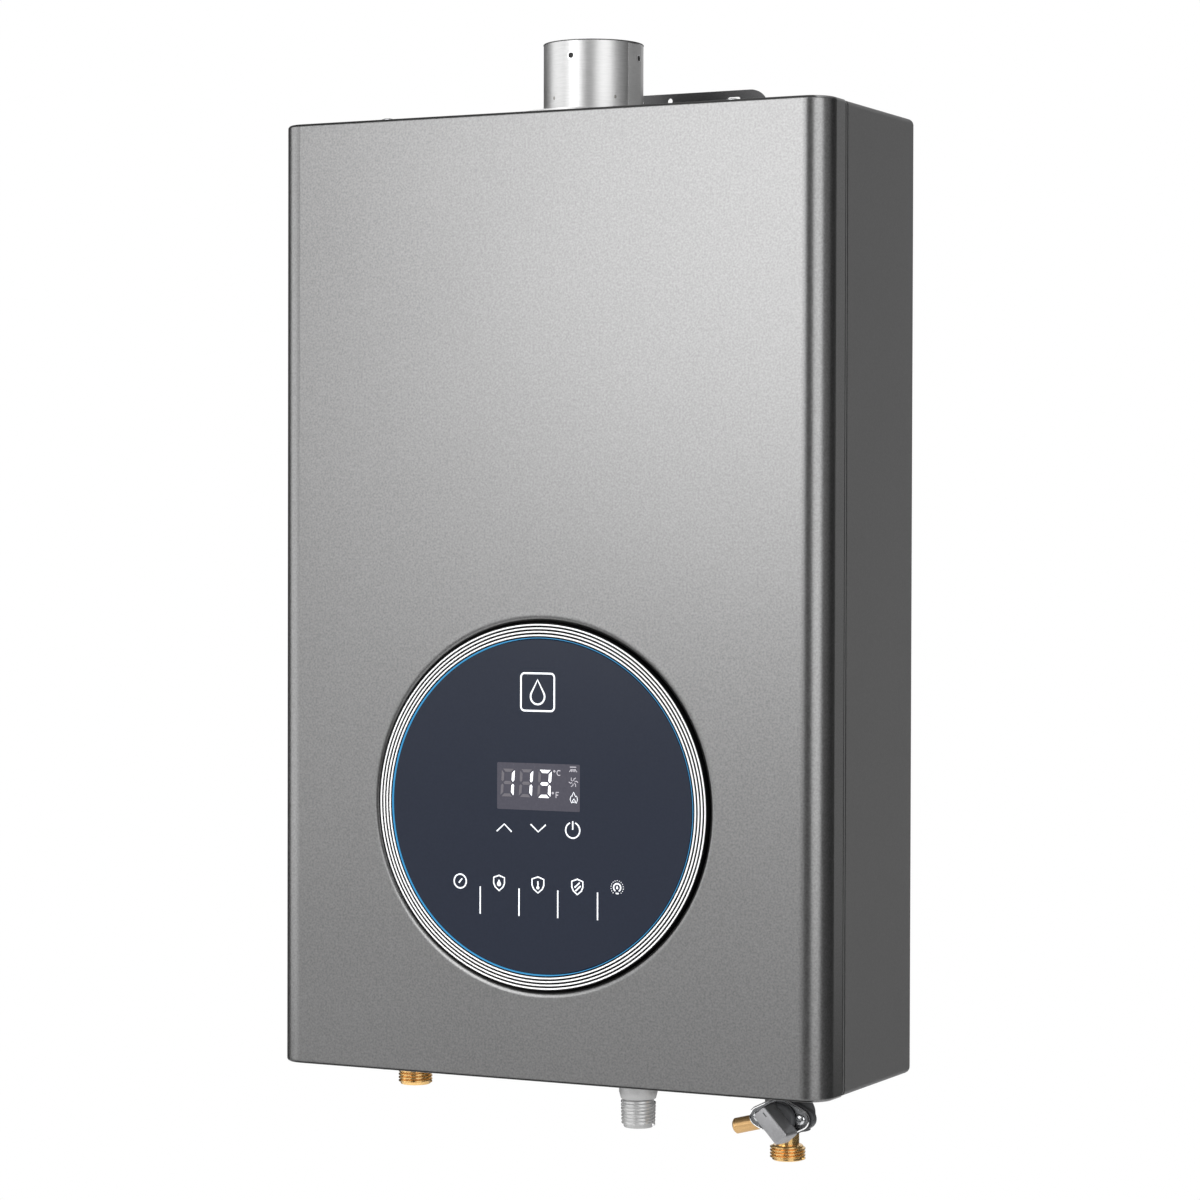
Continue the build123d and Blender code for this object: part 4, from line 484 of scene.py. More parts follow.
# Panel glass: one round sheet of tempered glass, with the display and its board clipped behind it.
# The touch keys are only marks on it.
# Navy paint on the back of the glass: a deep dark blue under a weak clear gloss.
navy_glass = grained(
    "back_painted_glass", ("#1b212f", "#1e2432"), 1.5, (0.2, 0.24), 0.0, cloud=160, ior=1.5,
    specular_ior_level=0.2,
)
glass_low, glass_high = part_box("panel_glass")
glass_thick = (glass_high.y - glass_low.y) / mm
glass_radius, glass_chamfer = 98.5, 0.3
glass_outline = (
    (0, -glass_thick), (glass_radius, -glass_thick), (glass_radius, -glass_chamfer),
    (glass_radius - glass_chamfer, 0), (0, 0),
)
disc = turned(glass_outline, panel_steps)
bmesh.ops.transform(disc, matrix=facing_front(0, glass_low.y, panel_middle), verts=disc.verts[:])
set_piece("panel_glass_disc", disc, navy_glass, replaced=("panel_glass",))
# Dark moulded housing and a green board with a satin lacquer, both behind the glass.
coat(grained("display_case", ("#1a1b1d", "#222326"), 1, (0.3, 0.4), 0.003), "display_module")
circuit_board = grained("green_circuit_board", ("#0f4a2b", "#15603a"), 2, (0.35, 0.5), 0.004)
coat(circuit_board, "display_board", "control_board")
coat(zinc_plate, "panel_screws")

# Display window and its seven-segment digits: a smoked window in the glass with lit and unlit bars
# behind it. The marks are drawn in millimetres from the middle of the glass, with Y up.
print_lift = 0.05 * mm
on_glass = facing_front(
    (glass_low.x + glass_high.x) / 2, glass_low.y, (glass_low.z + glass_high.z) / 2
)
# Smoked acrylic, a shade lighter and greyer than the glass round it.
smoked_window = grained(
    "smoked_window", ("#43424c", "#494852"), 1.5, (0.22, 0.28), 0.0, ior=1.5, specular_ior_level=0.2
)
window_wide, window_tall, window_corner = 54.6 * mm, 27.6 * mm, 0.8 * mm
window_place = (-1.0 * mm, 11.7 * mm, print_lift)
window = bmesh.new()
bmesh.ops.create_grid(window, x_segments=1, y_segments=1, size=0.5)
bmesh.ops.scale(window, vec=(window_wide, window_tall, 1), verts=window.verts[:])
bmesh.ops.bevel(
    window, geom=window.verts[:], offset=window_corner, affect="VERTICES", segments=4, profile=0.5,
    material=-1,
)
bmesh.ops.translate(window, vec=window_place, verts=window.verts[:])
bmesh.ops.transform(window, matrix=on_glass, verts=window.verts[:])
set_piece("display_window", window, smoked_window)

bar_lean = 0.06
digit_y = 13.6
top_bar = ((-3.5, 8.2), (3.5, 8.2), (1.8, 6.4), (-1.8, 6.4))
middle_bar = ((-2.7, 0), (-1.8, 0.95), (1.8, 0.95), (2.7, 0), (1.8, -0.95), (-1.8, -0.95))
side_bar = ((4.3, 7.4), (4.3, 1.5), (3.45, 0.6), (2.6, 1.5), (2.6, 5.6))
bars = {
    "top": (top_bar, 1, 1),
    "middle": (middle_bar, 1, 1),
    "bottom": (top_bar, 1, -1),
    "upper_right": (side_bar, 1, 1),
    "lower_right": (side_bar, 1, -1),
    "upper_left": (side_bar, -1, 1),
    "lower_left": (side_bar, -1, -1),
}
lit_bars = {
    1: ("upper_right", "lower_right"),
    3: ("top", "upper_right", "middle", "lower_right", "bottom"),
}


def fill(flat, points, height):
    """Add a flat face in millimetres to a bmesh, facing up."""
    face = flat.faces.new([flat.verts.new((x * mm, y * mm, height)) for x, y in points])
    face.normal_update()
    if face.normal.z < 0:
        face.normal_flip()


lit = bmesh.new()
unlit = bmesh.new()
for digit, digit_x in ((1, -21.3), (1, -9.1), (3, 3.1)):
    for bar, (outline, across, upright) in bars.items():
        corners = [(across * x, upright * y) for x, y in outline]
        leaning = [(digit_x + x + bar_lean * y, digit_y + y) for x, y in corners]
        fill(lit if bar in lit_bars[digit] else unlit, leaning, 2 * print_lift)
for shape in (unlit, lit):
    bmesh.ops.transform(shape, matrix=on_glass, verts=shape.verts[:])
# Lit bars glow a clean white, and unlit ones are barely lighter than the window.
lit_mark = grained(
    "lit_white_mark", ("#f2f4f8", "#ffffff"), 1, (0.4, 0.5), 0.0,
    emission_color=srgb("#f4f6ff"), emission_strength=0.75,
)
unlit_mark = grained("unlit_bar", ("#57545b", "#5d5a61"), 1, (0.3, 0.4), 0.0)
set_piece("lit_digit_bars", lit, lit_mark)
set_piece("unlit_digit_bars", unlit, unlit_mark)

# Printed marks: touch keys, a plain drop in a frame, and a row of plain pictograms, screen-printed
# in white on the glass, with the display's smaller signs in grey.
# Opaque ink lit a little from behind, so it stays clear and flat in any light.
white_ink = grained(
    "white_screen_ink", ("#d9dce2", "#e6e9ee"), 0.8, (0.4, 0.5), 0.0,
    emission_color=srgb("#f0f2f6"), emission_strength=0.5,
)
# The same ink in grey, which stands back from the lit digits.
unit_ink = grained(
    "grey_screen_ink", ("#a9a6ad", "#b6b3ba"), 0.8, (0.4, 0.5), 0.0,
    emission_color=srgb("#b4b2ba"), emission_strength=0.2,
)
ink_thick = 0.06


def printed(name, lines, width, material=white_ink, fills=()):
    """Flat printed lines of one width, and filled outlines, on the front of the glass."""
    flat = wire(lines, width, ink_thick / (width / 2))
    for points in fills:
        fill(flat, points, ink_thick * mm)
    bmesh.ops.translate(flat, vec=(0, 0, print_lift), verts=flat.verts[:])
    bmesh.ops.transform(flat, matrix=on_glass, verts=flat.verts[:])
    return set_piece(name, flat, material, sharp=60)


key_line = 0.85
power_key = (21.7, -12.9)
power_bar = [(power_key[0], power_key[1] + 5.3), (power_key[0], power_key[1] + 0.3)]
printed("up_key_mark", [[(-28.5, -15.3), (-23.5, -10.9), (-18.6, -15.3)]], key_line)
printed("down_key_mark", [[(-6.0, -10.4), (-1.0, -14.7), (4.0, -10.4)]], key_line)
printed("power_key_mark", [arc(power_key, 4.6, 113, 430, 40), power_bar], key_line)


def drop(middle, height):
    """Outline of a water drop about a middle."""
    bulb = height * 0.32
    sides = arc((middle[0], middle[1] - height / 2 + bulb), bulb, 150, 390, 28)
    tip = (middle[0], middle[1] + height / 2)
    return [tip] + sides + [tip]


def frame_square(middle, side, corner):
    """Outline of a square with round corners."""
    run = side / 2 - corner
    points = []
    for turn, x, y in ((0, run, run), (90, -run, run), (180, -run, -run), (270, run, -run)):
        points += arc((middle[0] + x, middle[1] + y), corner, turn, turn + 90, 8)
    return points + points[:1]


emblem = (-1.6, 67.3)
printed("drop_emblem", [frame_square(emblem, 22.0, 2.4), drop(emblem, 14.4)], 1.05)


def shield(middle, width, height):
    """Outline of a shield about a middle."""
    corners = (
        (0, 0.5), (1, 0.36), (1, -0.02), (0.72, -0.26), (0, -0.5),
        (-0.72, -0.26), (-1, -0.02), (-1, 0.36), (0, 0.5),
    )
    return [(middle[0] + x * width / 2, middle[1] + y * height) for x, y in corners]


row_y = -45.9
dial_x, drop_shield_x, heat_shield_x, lined_shield_x, bulb_x = -53.0, -26.9, -1.1, 24.8, 50.7
bulb_y = row_y + 0.8
printed(
    "row_pictograms",
    [
        arc((dial_x, row_y), 4.1, 0, 360, 36),
        [(dial_x - 0.9, row_y - 1.0), (dial_x + 1.3, row_y + 1.6)],
        shield((drop_shield_x, row_y), 7.2, 9.0),
        shield((heat_shield_x, row_y), 7.8, 9.4),
        [(heat_shield_x, row_y + 2.2), (heat_shield_x, row_y - 1.0)],
        arc((heat_shield_x, row_y - 1.6), 0.6, 0, 360, 16),
        shield((lined_shield_x, row_y), 7.2, 9.0),
        [(lined_shield_x - 1.8, row_y - 0.4), (lined_shield_x + 1.6, row_y + 2.6)],
        [(lined_shield_x - 1.2, row_y - 2.4), (lined_shield_x + 2.2, row_y + 0.6)],
        arc((bulb_x, bulb_y), 2.3, -60, 240, 30),
        [(bulb_x - 0.9, row_y - 2.6), (bulb_x + 0.9, row_y - 2.6)],
    ],
    key_line,
    fills=[drop((drop_shield_x, row_y + 0.2), 4.2)[:-1], drop((bulb_x, row_y + 1.0), 2.2)[:-1]],
)
ray_turns = [radians(turn) for turn in range(-50, 240, 20)]
rays = [
    [(bulb_x + reach * cos(turn), bulb_y + reach * sin(turn)) for reach in (3.8, 4.2)]
    for turn in ray_turns
]
printed("bulb_halo", rays, 0.55)
divider_top, divider_foot = -48.5, -64.7
dividers = [[(x, divider_top), (x, divider_foot)] for x in (-39.5, -13.6, 12.0, 38.0)]
printed("row_dividers", dividers, key_line)
printed(
    "unit_marks",
    [
        arc((9.6, 21.2), 0.45, 0, 360, 12),
        arc((12.6, 20.3), 1.45, 50, 310, 16, 0.9),
        arc((8.6, 8.4), 0.45, 0, 360, 12),
        [(10.7, 5.6), (10.7, 8.9), (12.5, 8.9)],
        [(10.7, 7.3), (12.1, 7.3)],
    ],
    0.55,
    unit_ink,
)
spray_x, fan_x, fan_y = 21.9, 22.1, 15.2
spray = [[(spray_x + side * 0.6, 22.8), (spray_x + side * 1.2, 21.2)] for side in (-2, -1, 0, 1, 2)]
blade_turns = [radians(turn) for turn in range(10, 370, 60)]
blades = [
    [
        (fan_x + reach * cos(turn + sweep), fan_y + reach * sin(turn + sweep))
        for reach, sweep in ((0.8, 0), (1.9, 0.2), (3.0, -0.2))
    ]
    for turn in blade_turns
]
printed("status_marks", [[(19.8, 24.0), (23.9, 24.0)]] + spray + blades, 0.5, unit_ink)
flame = [
    (20.9, 3.0), (20.0, 5.0), (20.3, 6.5), (20.9, 7.3), (21.3, 6.9), (21.7, 8.3), (22.3, 9.4),
    (22.9, 8.1), (23.5, 6.7), (24.2, 7.2), (24.8, 5.2), (24.1, 3.0), (23.5, 3.3), (23.2, 4.5),
    (22.4, 5.5), (21.7, 4.5), (21.4, 3.3),
]
printed("flame_mark", [flame + flame[:1], arc((22.4, 3.5), 0.2, 0, 360, 12)], 0.42)

# Flue collar: rolled stainless tube with a lapped seam, spot-welded to a flange that is screwed on
# the case top over a silicone ring. Four holes near its rim take the flue pipe's screws.
brush_lines = (0.1, 0.1, 2.0)
# Stainless brushed round its length: soft upright bands of light, broken by fine hoops.
stainless = grained(
    "brushed_stainless", ("#a9a9a9", "#bcbcbc"), 0.6, (0.36, 0.44), 0.0015, stretch=brush_lines,
    cloud=25, metallic=0.9,
)
coat(stainless, "flue_collar", "burner_strips")
# Matt brick-red silicone, a thin warm line under the flange.
silicone = grained("red_silicone", ("#5a2a20", "#6a3428"), 1.2, (0.55, 0.7), 0.01)
coat(silicone, "flue_gasket", "pressure_hose")
collar_low, collar_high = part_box("flue_collar")
flue_axis = Vector((0, (collar_low.y + collar_high.y) / 2, 0))
flue_radius = 30 * mm


def on_flue(turn, reach, height):
    """Place on the flue at a turn from the front, in degrees, with Y pointing inwards."""
    way = Vector((sin(radians(turn)), -cos(radians(turn)), 0))
    spot = flue_axis + way * reach + Vector((0, 0, height))
    return Matrix.Translation(spot) @ Matrix.Rotation(radians(turn), 4, "Z")


weld_radius, weld_height, weld_squash = 0.85 * mm, 12 * mm, (1, 0.16, 1.3)
weld = bmesh.new()
bmesh.ops.create_uvsphere(weld, u_segments=16, v_segments=8, radius=weld_radius)
bmesh.ops.scale(weld, vec=weld_squash, verts=weld.verts[:])
weld_turns = (-25, 52, 130, 205, 280)
weld_places = [on_flue(turn, flue_radius, case_high.z + weld_height) for turn in weld_turns]
# Weld spots, a little darker and duller than the sheet.
weld_burn = grained("weld_burn", ("#7d7b78", "#8f8d8a"), 0.4, (0.35, 0.5), 0.01, metallic=0.8)
set_piece("flue_weld_spots", gather(weld, weld_places), weld_burn)

lap_turn, lap_sweep = radians(70), radians(26)
lap_outline = ((29.9, -11), (30.25, -11), (30.25, 32.6), (29.9, 32.6))
lap = bmesh.new()
lap_points = [
    lap.verts.new((radius * mm * sin(lap_turn), -radius * mm * cos(lap_turn), height * mm))
    for radius, height in lap_outline
]
lap_end = lap.faces.new(lap_points)
bmesh.ops.spin(lap, geom=[lap_end], cent=(0, 0, 0), axis=(0, 0, 1), angle=lap_sweep, steps=13)
bmesh.ops.remove_doubles(lap, verts=lap.verts[:], dist=merge_reach)
bmesh.ops.recalc_face_normals(lap, faces=lap.faces[:])
bmesh.ops.translate(lap, vec=flue_axis, verts=lap.verts[:])
# The lap's outer sheet is a duller, less metallic copy of the stainless that reads lighter: painted
# light for the light its slight tilt catches, so the seam shows as a step.
lap_sheet_lightened = grained(
    "lap_stainless_painted_light", ("#a2a2a2", "#b4b4b4"), 0.6, (0.5, 0.58), 0.0015, stretch=brush_lines,
    cloud=25, metallic=0.45,
)
set_piece("flue_lap_seam", lap, lap_sheet_lightened, sharp=20)

hole_radius, hole_drop, hole_proud = 1.75 * mm, 9.5 * mm, 0.3 * mm
hole_places = []
for turn in (0, 90, 180, 270):
    on_hole = on_flue(turn, flue_radius + hole_proud, collar_high.z - hole_drop)
    hole_places.append(on_hole @ Matrix.Rotation(pi / 2, 4, "X"))
# Each hole is filled with a near-black cone, painted shade for the flue's dark inside.
shade_cone_depth, shade_cone_tip = 2.2 * mm, 0.4 * mm
shade_cone = bmesh.new()
bmesh.ops.create_cone(
    shade_cone, cap_ends=True, segments=24, radius1=shade_cone_tip, radius2=hole_radius, depth=shade_cone_depth,
    matrix=Matrix.Translation((0, 0, -shade_cone_depth / 2)),
)
# Near-black cones inside the holes: painted shade for the dark inside of the flue.
hole_shade_black = grained("painted_hole_shade", ("#0b0b0b", "#141414"), 0.4, (0.6, 0.7), 0.0)
set_piece("flue_hole_shade_cones", gather(shade_cone, hole_places), hole_shade_black)
rim_growth = (1.25, 1.25, 1)
rim = bmesh.new()
bmesh.ops.create_circle(rim, segments=24, radius=hole_radius)
grown = bmesh.ops.extrude_edge_only(rim, edges=rim.edges[:])
rim_verts = [v for v in grown["geom"] if isinstance(v, bmesh.types.BMVert)]
bmesh.ops.scale(rim, vec=rim_growth, verts=rim_verts)
# Freshly cut metal, a thin bright ring round each hole.
bare_rim = grained("bare_hole_rim", ("#e2e3e4", "#f2f2f3"), 0.4, (0.25, 0.35), 0.0, metallic=0.9)
set_piece("flue_hole_rims", gather(rim, hole_places), bare_rim)
edge_radius, edge_width, edge_sunk = 29.9, 0.7, 0.36 * mm
rim_edge = wire([arc((0, 0), edge_radius, 0, 360, 96)], edge_width)
rim_edge_spot = flue_axis + Vector((0, 0, collar_high.z - edge_sunk))
bmesh.ops.translate(rim_edge, vec=rim_edge_spot, verts=rim_edge.verts[:])
# A dull dark ring just under the tube's rim, which draws a fine dark line along it.
dark_rim_ring_finish = grained(
    "dull_dark_rim_ring", ("#3c3c3c", "#4a4a4a"), 0.4, (0.45, 0.55), 0.0, metallic=0.4
)
set_piece("flue_rim_edge", rim_edge, dark_rim_ring_finish)

flange_screw_circle, flange_sheet = 39 * mm, 1.5 * mm
flue_screw_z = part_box("flue_gasket")[1].z + flange_sheet
flue_screw_places = []
for turn in (45, 135, 225, 315):
    way = Vector((cos(radians(turn)), sin(radians(turn)), 0))
    spot = flue_axis + way * flange_screw_circle + Vector((0, 0, flue_screw_z))
    drive = radians(turn * 1.7)
    flue_screw_places.append(Matrix.Translation(spot) @ Matrix.Rotation(drive, 4, "Z"))
set_piece(
    "flue_screw_set", gather(pan_screw(2.8, 1.8, 1.5, 5), flue_screw_places), zinc_plate,
    replaced=("flue_screws",),
)

# Exhaust fan and hood: pressed sheet steel bolted round an aluminium wheel on the motor's shaft.
# The blades show down the flue.
# Zinc-plated sheet with a faint spangle, a bit brighter than bare steel.
plated_sheet = grained(
    "zinc_plated_sheet", ("#8b8d8f", "#a5a7a9"), 3, (0.3, 0.45), 0.004, cloud=20, metallic=1.0
)
coat(plated_sheet, "fan_housing", "exhaust_hood", "burner_frame", "frame_brackets")
# Enamelled cans and moulded bodies, plain black with a soft sheen.
black_can = grained("black_motor_can", ("#141516", "#1d1e20"), 1, (0.35, 0.5), 0.006)
coat(black_can, "fan_motor", "valve_coil", "igniter", "thermal_cutout")
lathe_lines = (0.3, 0.3, 2.0)
# Turned steel, with fine rings from the lathe in its shine.
bare_steel = grained(
    "turned_steel", ("#b6b6b6", "#cfcfcf"), 0.5, (0.24, 0.32), 0.001, stretch=lathe_lines, cloud=12,
    metallic=1.0,
)
coat(bare_steel, "fan_shaft", "valve_plunger", "turbine_pin", "electrode_rods")
# Pressed aluminium, pale and a little milky.
aluminium = grained(
    "pressed_aluminium", ("#b9babb", "#cfd0d1"), 0.8, (0.3, 0.42), 0.004, metallic=1.0
)
coat(aluminium, "fan_wheel")

# Heat exchanger: copper tube wound round a copper chamber and through a stack of fins,
# brazed where they meet.
# Drawn copper with heat marks in broad patches of brown and pink.
copper = grained(
    "drawn_copper", ("#8f4a2c", "#b96a45"), 4, (0.28, 0.42), 0.004, cloud=30, metallic=1.0
)
coat(copper, "fin_block", "fin_tube", "combustion_chamber", "chamber_coil", "cold_pipe", "hot_pipe")

# Burner and gas valve: a die-cast aluminium valve and manifold under stainless burner strips,
# with brass jets screwed into the manifold.
# Die-cast aluminium, dull and slightly pitted.
cast_aluminium = grained(
    "die_cast_aluminium", ("#9a9c9e", "#b3b5b7"), 1.4, (0.42, 0.58), 0.015, metallic=0.9
)
coat(cast_aluminium, "gas_manifold", "gas_valve_body", "gas_riser")
# Turned brass, warm yellow with hard highlights along each ridge.
brass = grained(
    "turned_brass", ("#e6bd7c", "#edc788"), 0.6, (0.2, 0.24), 0.0, stretch=lathe_lines, cloud=10,
    metallic=0.86,
)
coat(brass, "gas_nozzles", "drain_stem", "pipe_nuts")

# Gas inlet: a turned steel nipple with a taper pipe thread below a cone shoulder,
# flanged to the gas valve inside the case. Ridges are drawn a little coarser than real, to show.


def cut_thread(body, root, crest, pitch, low, high, land):
    """Wind a right-hand thread ridge on a turned bmesh between two heights, in millimetres.

    Land is the flat share of the pitch along the crest.
    """
    sunk = root - 0.2
    shoulder = crest - 0.25
    shoulder_share = land / 2 + 0.08
    ridge = (
        (sunk, -0.5), (shoulder, -shoulder_share), (crest, -land / 2),
        (crest, land / 2), (shoulder, shoulder_share), (sunk, 0.5),
    )
    start = low + pitch / 2
    turns = (high - low - pitch) / pitch
    points = [
        body.verts.new((radius * mm, 0, (start + share * pitch) * mm)) for radius, share in ridge
    ]
    edges = [body.edges.new(pair) for pair in zip(points, points[1:] + points[:1])]
    steps_per_turn = 48
    steps = round(turns * steps_per_turn)
    wound = bmesh.ops.spin(
        body, geom=points + edges, cent=(0, 0, 0), axis=(0, 0, 1), steps=steps,
        dvec=(0, 0, pitch * mm / steps_per_turn), angle=2 * pi * steps / steps_per_turn,
    )
    last = [item for item in wound["geom_last"] if isinstance(item, bmesh.types.BMVert)]
    for ring in (points, last):
        body.faces.new(ring)
        for vert in ring:
            flat = Vector((vert.co.x, vert.co.y, 0)).normalized() * sunk * mm
            vert.co = (flat.x, flat.y, vert.co.z)
    bmesh.ops.recalc_face_normals(body, faces=body.faces[:])


gas_low, gas_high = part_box("gas_inlet")
gas_foot = Vector(((gas_low.x + gas_high.x) / 2, (gas_low.y + gas_high.y) / 2, gas_low.z))
gas_thread_top, taper_per_mm = 17.0, 0.0031
nipple = turned(
    (
        (7.0, 0), (9.0, 0), (9.4, 0.8), (9.4, gas_thread_top), (10.3, 17.2), (10.65, 17.6),
        (11.7, 21.6), (11.7, 36.0), (7.0, 36.0),
    )
)
gas_thread = bmesh.new()
cut_thread(gas_thread, root=9.3, crest=10.65, pitch=2.1, low=0.6, high=17.4, land=0.5)
for vert in nipple.verts[:] + gas_thread.verts[:]:
    if vert.co.z < gas_thread_top * mm:
        slim = 1 - taper_per_mm * (gas_thread_top - vert.co.z / mm)
        vert.co.x *= slim
        vert.co.y *= slim
gas_flange_side, gas_flange_thick, gas_flange_corner = 46 * mm, 6 * mm, 8 * mm
gas_flange_height = 39 * mm
gas_flange = bmesh.new()
bmesh.ops.create_cube(gas_flange, size=1.0)
bmesh.ops.scale(
    gas_flange, vec=(gas_flange_side, gas_flange_side, gas_flange_thick), verts=gas_flange.verts[:]
)
upright = [e for e in gas_flange.edges if abs(e.verts[0].co.z - e.verts[1].co.z) > mm]
bmesh.ops.bevel(
    gas_flange, geom=upright, offset=gas_flange_corner, affect="EDGES", segments=6, profile=0.5,
    material=-1,
)
gather(gas_flange, [Matrix.Translation((0, 0, gas_flange_height))], nipple)
bmesh.ops.translate(nipple, vec=gas_foot, verts=nipple.verts[:])
bmesh.ops.translate(gas_thread, vec=gas_foot, verts=gas_thread.verts[:])
# Blasted steel, a flat light grey on the shoulder.
dull_steel = grained(
    "blasted_steel", ("#acacac", "#bebebe"), 0.5, (0.45, 0.55), 0.006, cloud=12, metallic=0.7
)
set_piece("gas_nipple", nipple, dull_steel, replaced=("gas_inlet",))
# Rolled thread, polished by the dies, so each ridge is a bright line.
rolled_steel = grained(
    "rolled_thread_steel", ("#ebebeb", "#f2f2f2"), 0.5, (0.2, 0.24), 0.0, stretch=lathe_lines,
    cloud=12, metallic=0.64,
)
set_piece("gas_thread_ridge", gas_thread, rolled_steel)

# Hot outlet: a turned brass nipple with a parallel pipe thread, a hexagon collar under the case and
# a stub that takes the copper pipe.
hot_low, hot_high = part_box("hot_outlet")
hot_foot = ((hot_low.x + hot_high.x) / 2, (hot_low.y + hot_high.y) / 2, hot_low.z)
pipe_crest, pipe_root = 10.4775, 9.1
outlet = turned(
    (
        (7.3, 0), (9.0, 0), (9.3, 0.5), (9.3, 14.0), (pipe_crest, 14.0), (pipe_crest, 41.6),
        (7.3, 41.6),
    )
)
cut_thread(outlet, pipe_root, pipe_crest, pitch=2.0, low=0, high=14.2, land=0.4)
collar_corner, collar_thick, collar_height, collar_edge = 14 * mm, 5.6 * mm, 16.8 * mm, 0.4 * mm
collar_turn = Matrix.Rotation(radians(30), 4, "Z")
hexagon = bmesh.new()
bmesh.ops.create_cone(
    hexagon, cap_ends=True, segments=6, radius1=collar_corner, radius2=collar_corner,
    depth=collar_thick,
)
bmesh.ops.bevel(
    hexagon, geom=hexagon.edges[:], offset=collar_edge, affect="EDGES", segments=2, profile=0.5,
    material=-1,
)
gather(hexagon, [Matrix.Translation((0, 0, collar_height)) @ collar_turn], outlet)
hot_place = Matrix.Translation(hot_foot) @ collar_turn
bmesh.ops.transform(outlet, matrix=hot_place, verts=outlet.verts[:])
set_piece("hot_water_nipple", outlet, brass, replaced=("hot_outlet",))

# Cold inlet: a short brass nipple with the same thread below a slim neck, moulded into the dark
# valve body that passes through the case bottom.
cold_low, cold_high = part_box("cold_inlet_nipple")
cold_foot = ((cold_low.x + cold_high.x) / 2, (cold_low.y + cold_high.y) / 2, cold_low.z)
inlet = turned(
    (
        (4.6, 0), (8.8, 0), (9.2, 0.5), (9.2, 8.4), (8.6, 9.0), (6.8, 9.0), (6.8, 24.0),
        (4.6, 24.0),
    )
)
cut_thread(inlet, pipe_root, pipe_crest, pitch=1.9, low=0, high=9.4, land=0.38)
bmesh.ops.translate(inlet, vec=cold_foot, verts=inlet.verts[:])
set_piece("cold_water_nipple", inlet, brass, replaced=("cold_inlet_nipple",))
# Glass-filled nylon, dark grey with a fine moulded texture.
dark_moulding = grained("dark_grey_nylon", ("#3b3c3e", "#46474a"), 0.7, (0.42, 0.55), 0.012)
coat(dark_moulding, "inlet_valve_body")

# Drain valve: a pressed, chrome-plated flange with a hemmed edge, held by two screws to the valve
# body round the knob's stem, and a brass spout at the side.
flange_low, flange_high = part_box("drain_flange")
flange_shift = -1.0 * mm
flange_x = (flange_low.x + flange_high.x) / 2 + flange_shift
on_flange = facing_front(flange_x, flange_low.y, (flange_low.z + flange_high.z) / 2)
ear_reach, ear_radius, hub_radius = 13.2, 6.0, 11.8
meet_turn = 63.9
plate_outline = (
    arc((ear_reach, 0), ear_radius, -meet_turn, meet_turn, 16)
    + arc((0, 0), hub_radius, meet_turn, 180 - meet_turn, 16)
    + arc((-ear_reach, 0), ear_radius, 180 - meet_turn, 180 + meet_turn, 16)
    + arc((0, 0), hub_radius, 180 + meet_turn, 360 - meet_turn, 16)
)
plate_sunk = 0.2 * mm
plate_thick = flange_high.y - flange_low.y
plate = bmesh.new()
plate_verts = [plate.verts.new((x * mm, y * mm, -plate_sunk)) for x, y in plate_outline]
plate_face = plate.faces.new(plate_verts)
pushed = bmesh.ops.extrude_face_region(plate, geom=[plate_face])
back_verts = [v for v in pushed["geom"] if isinstance(v, bmesh.types.BMVert)]
bmesh.ops.translate(plate, vec=(0, 0, -plate_thick), verts=back_verts)
bmesh.ops.recalc_face_normals(plate, faces=plate.faces[:])
bmesh.ops.transform(plate, matrix=on_flange, verts=plate.verts[:])
# Chrome on the flat, its tone darkened against the bright hem: painted shade and dark reflection.
shaded_chrome_tone = grained(
    "chrome_painted_shade", ("#6a6b6d", "#7c7d7f"), 0.8, (0.2, 0.3), 0.002, cloud=8, metallic=1.0
)
set_piece("drain_flange_plate", plate, shaded_chrome_tone, replaced=("drain_flange",))
hem_share, hem_width, hem_sunk = 0.96, 1.3, 0.3 * mm
hem_line = [(x * hem_share, y * hem_share) for x, y in plate_outline + plate_outline[:1]]
hem = wire([hem_line], hem_width)
bmesh.ops.translate(hem, vec=(0, 0, -hem_sunk), verts=hem.verts[:])
bmesh.ops.transform(hem, matrix=on_flange, verts=hem.verts[:])
# Chrome on the round of the hem, its tone raised near white: a painted highlight, a thin bright line.
lit_chrome_tone = grained(
    "chrome_painted_highlight", ("#e9e9ea", "#f6f6f6"), 0.8, (0.12, 0.18), 0.001, cloud=8, metallic=1.0
)
set_piece("drain_flange_hem", hem, lit_chrome_tone)
ear_places = []
for side, drive in ((-1, 15), (1, 40)):
    on_ear = on_flange @ Matrix.Translation((side * ear_reach * mm, 0, -plate_sunk))
    ear_places.append(on_ear @ Matrix.Rotation(radians(drive), 4, "Z"))
set_piece(
    "flange_screw_set", gather(pan_screw(3.2, 1.6, 1.5, 5), ear_places), zinc_plate,
    replaced=("flange_screws",),
)
# Satin brass on the spout, paler and softer than the threads.
satin_brass = grained(
    "satin_brass", ("#c39a63", "#d6b27f"), 0.6, (0.42, 0.5), 0.004, cloud=10, metallic=0.75
)
coat(satin_brass, "drain_spigot")
# Matt black rubber with a fine bloom.
seal_black = grained("black_seal_rubber", ("#0d0d0e", "#161617"), 0.6, (0.6, 0.75), 0.006)
coat(seal_black, "stem_seal", "power_gland")

# Drain knob: a moulded bar, painted silver-grey, on a round skirt in dark nylon that is pressed on
# the stem; the skirt's dark tone is painted shade for the recess behind the bar. A dark line near one
# end is painted shade for the bar's index slot.
stem_low, stem_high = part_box("drain_stem")
knob_low, knob_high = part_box("drain_knob")
knob_tall = knob_high.y - knob_low.y
on_stem = facing_front(
    (stem_low.x + stem_high.x) / 2, knob_high.y, (stem_low.z + stem_high.z) / 2
)
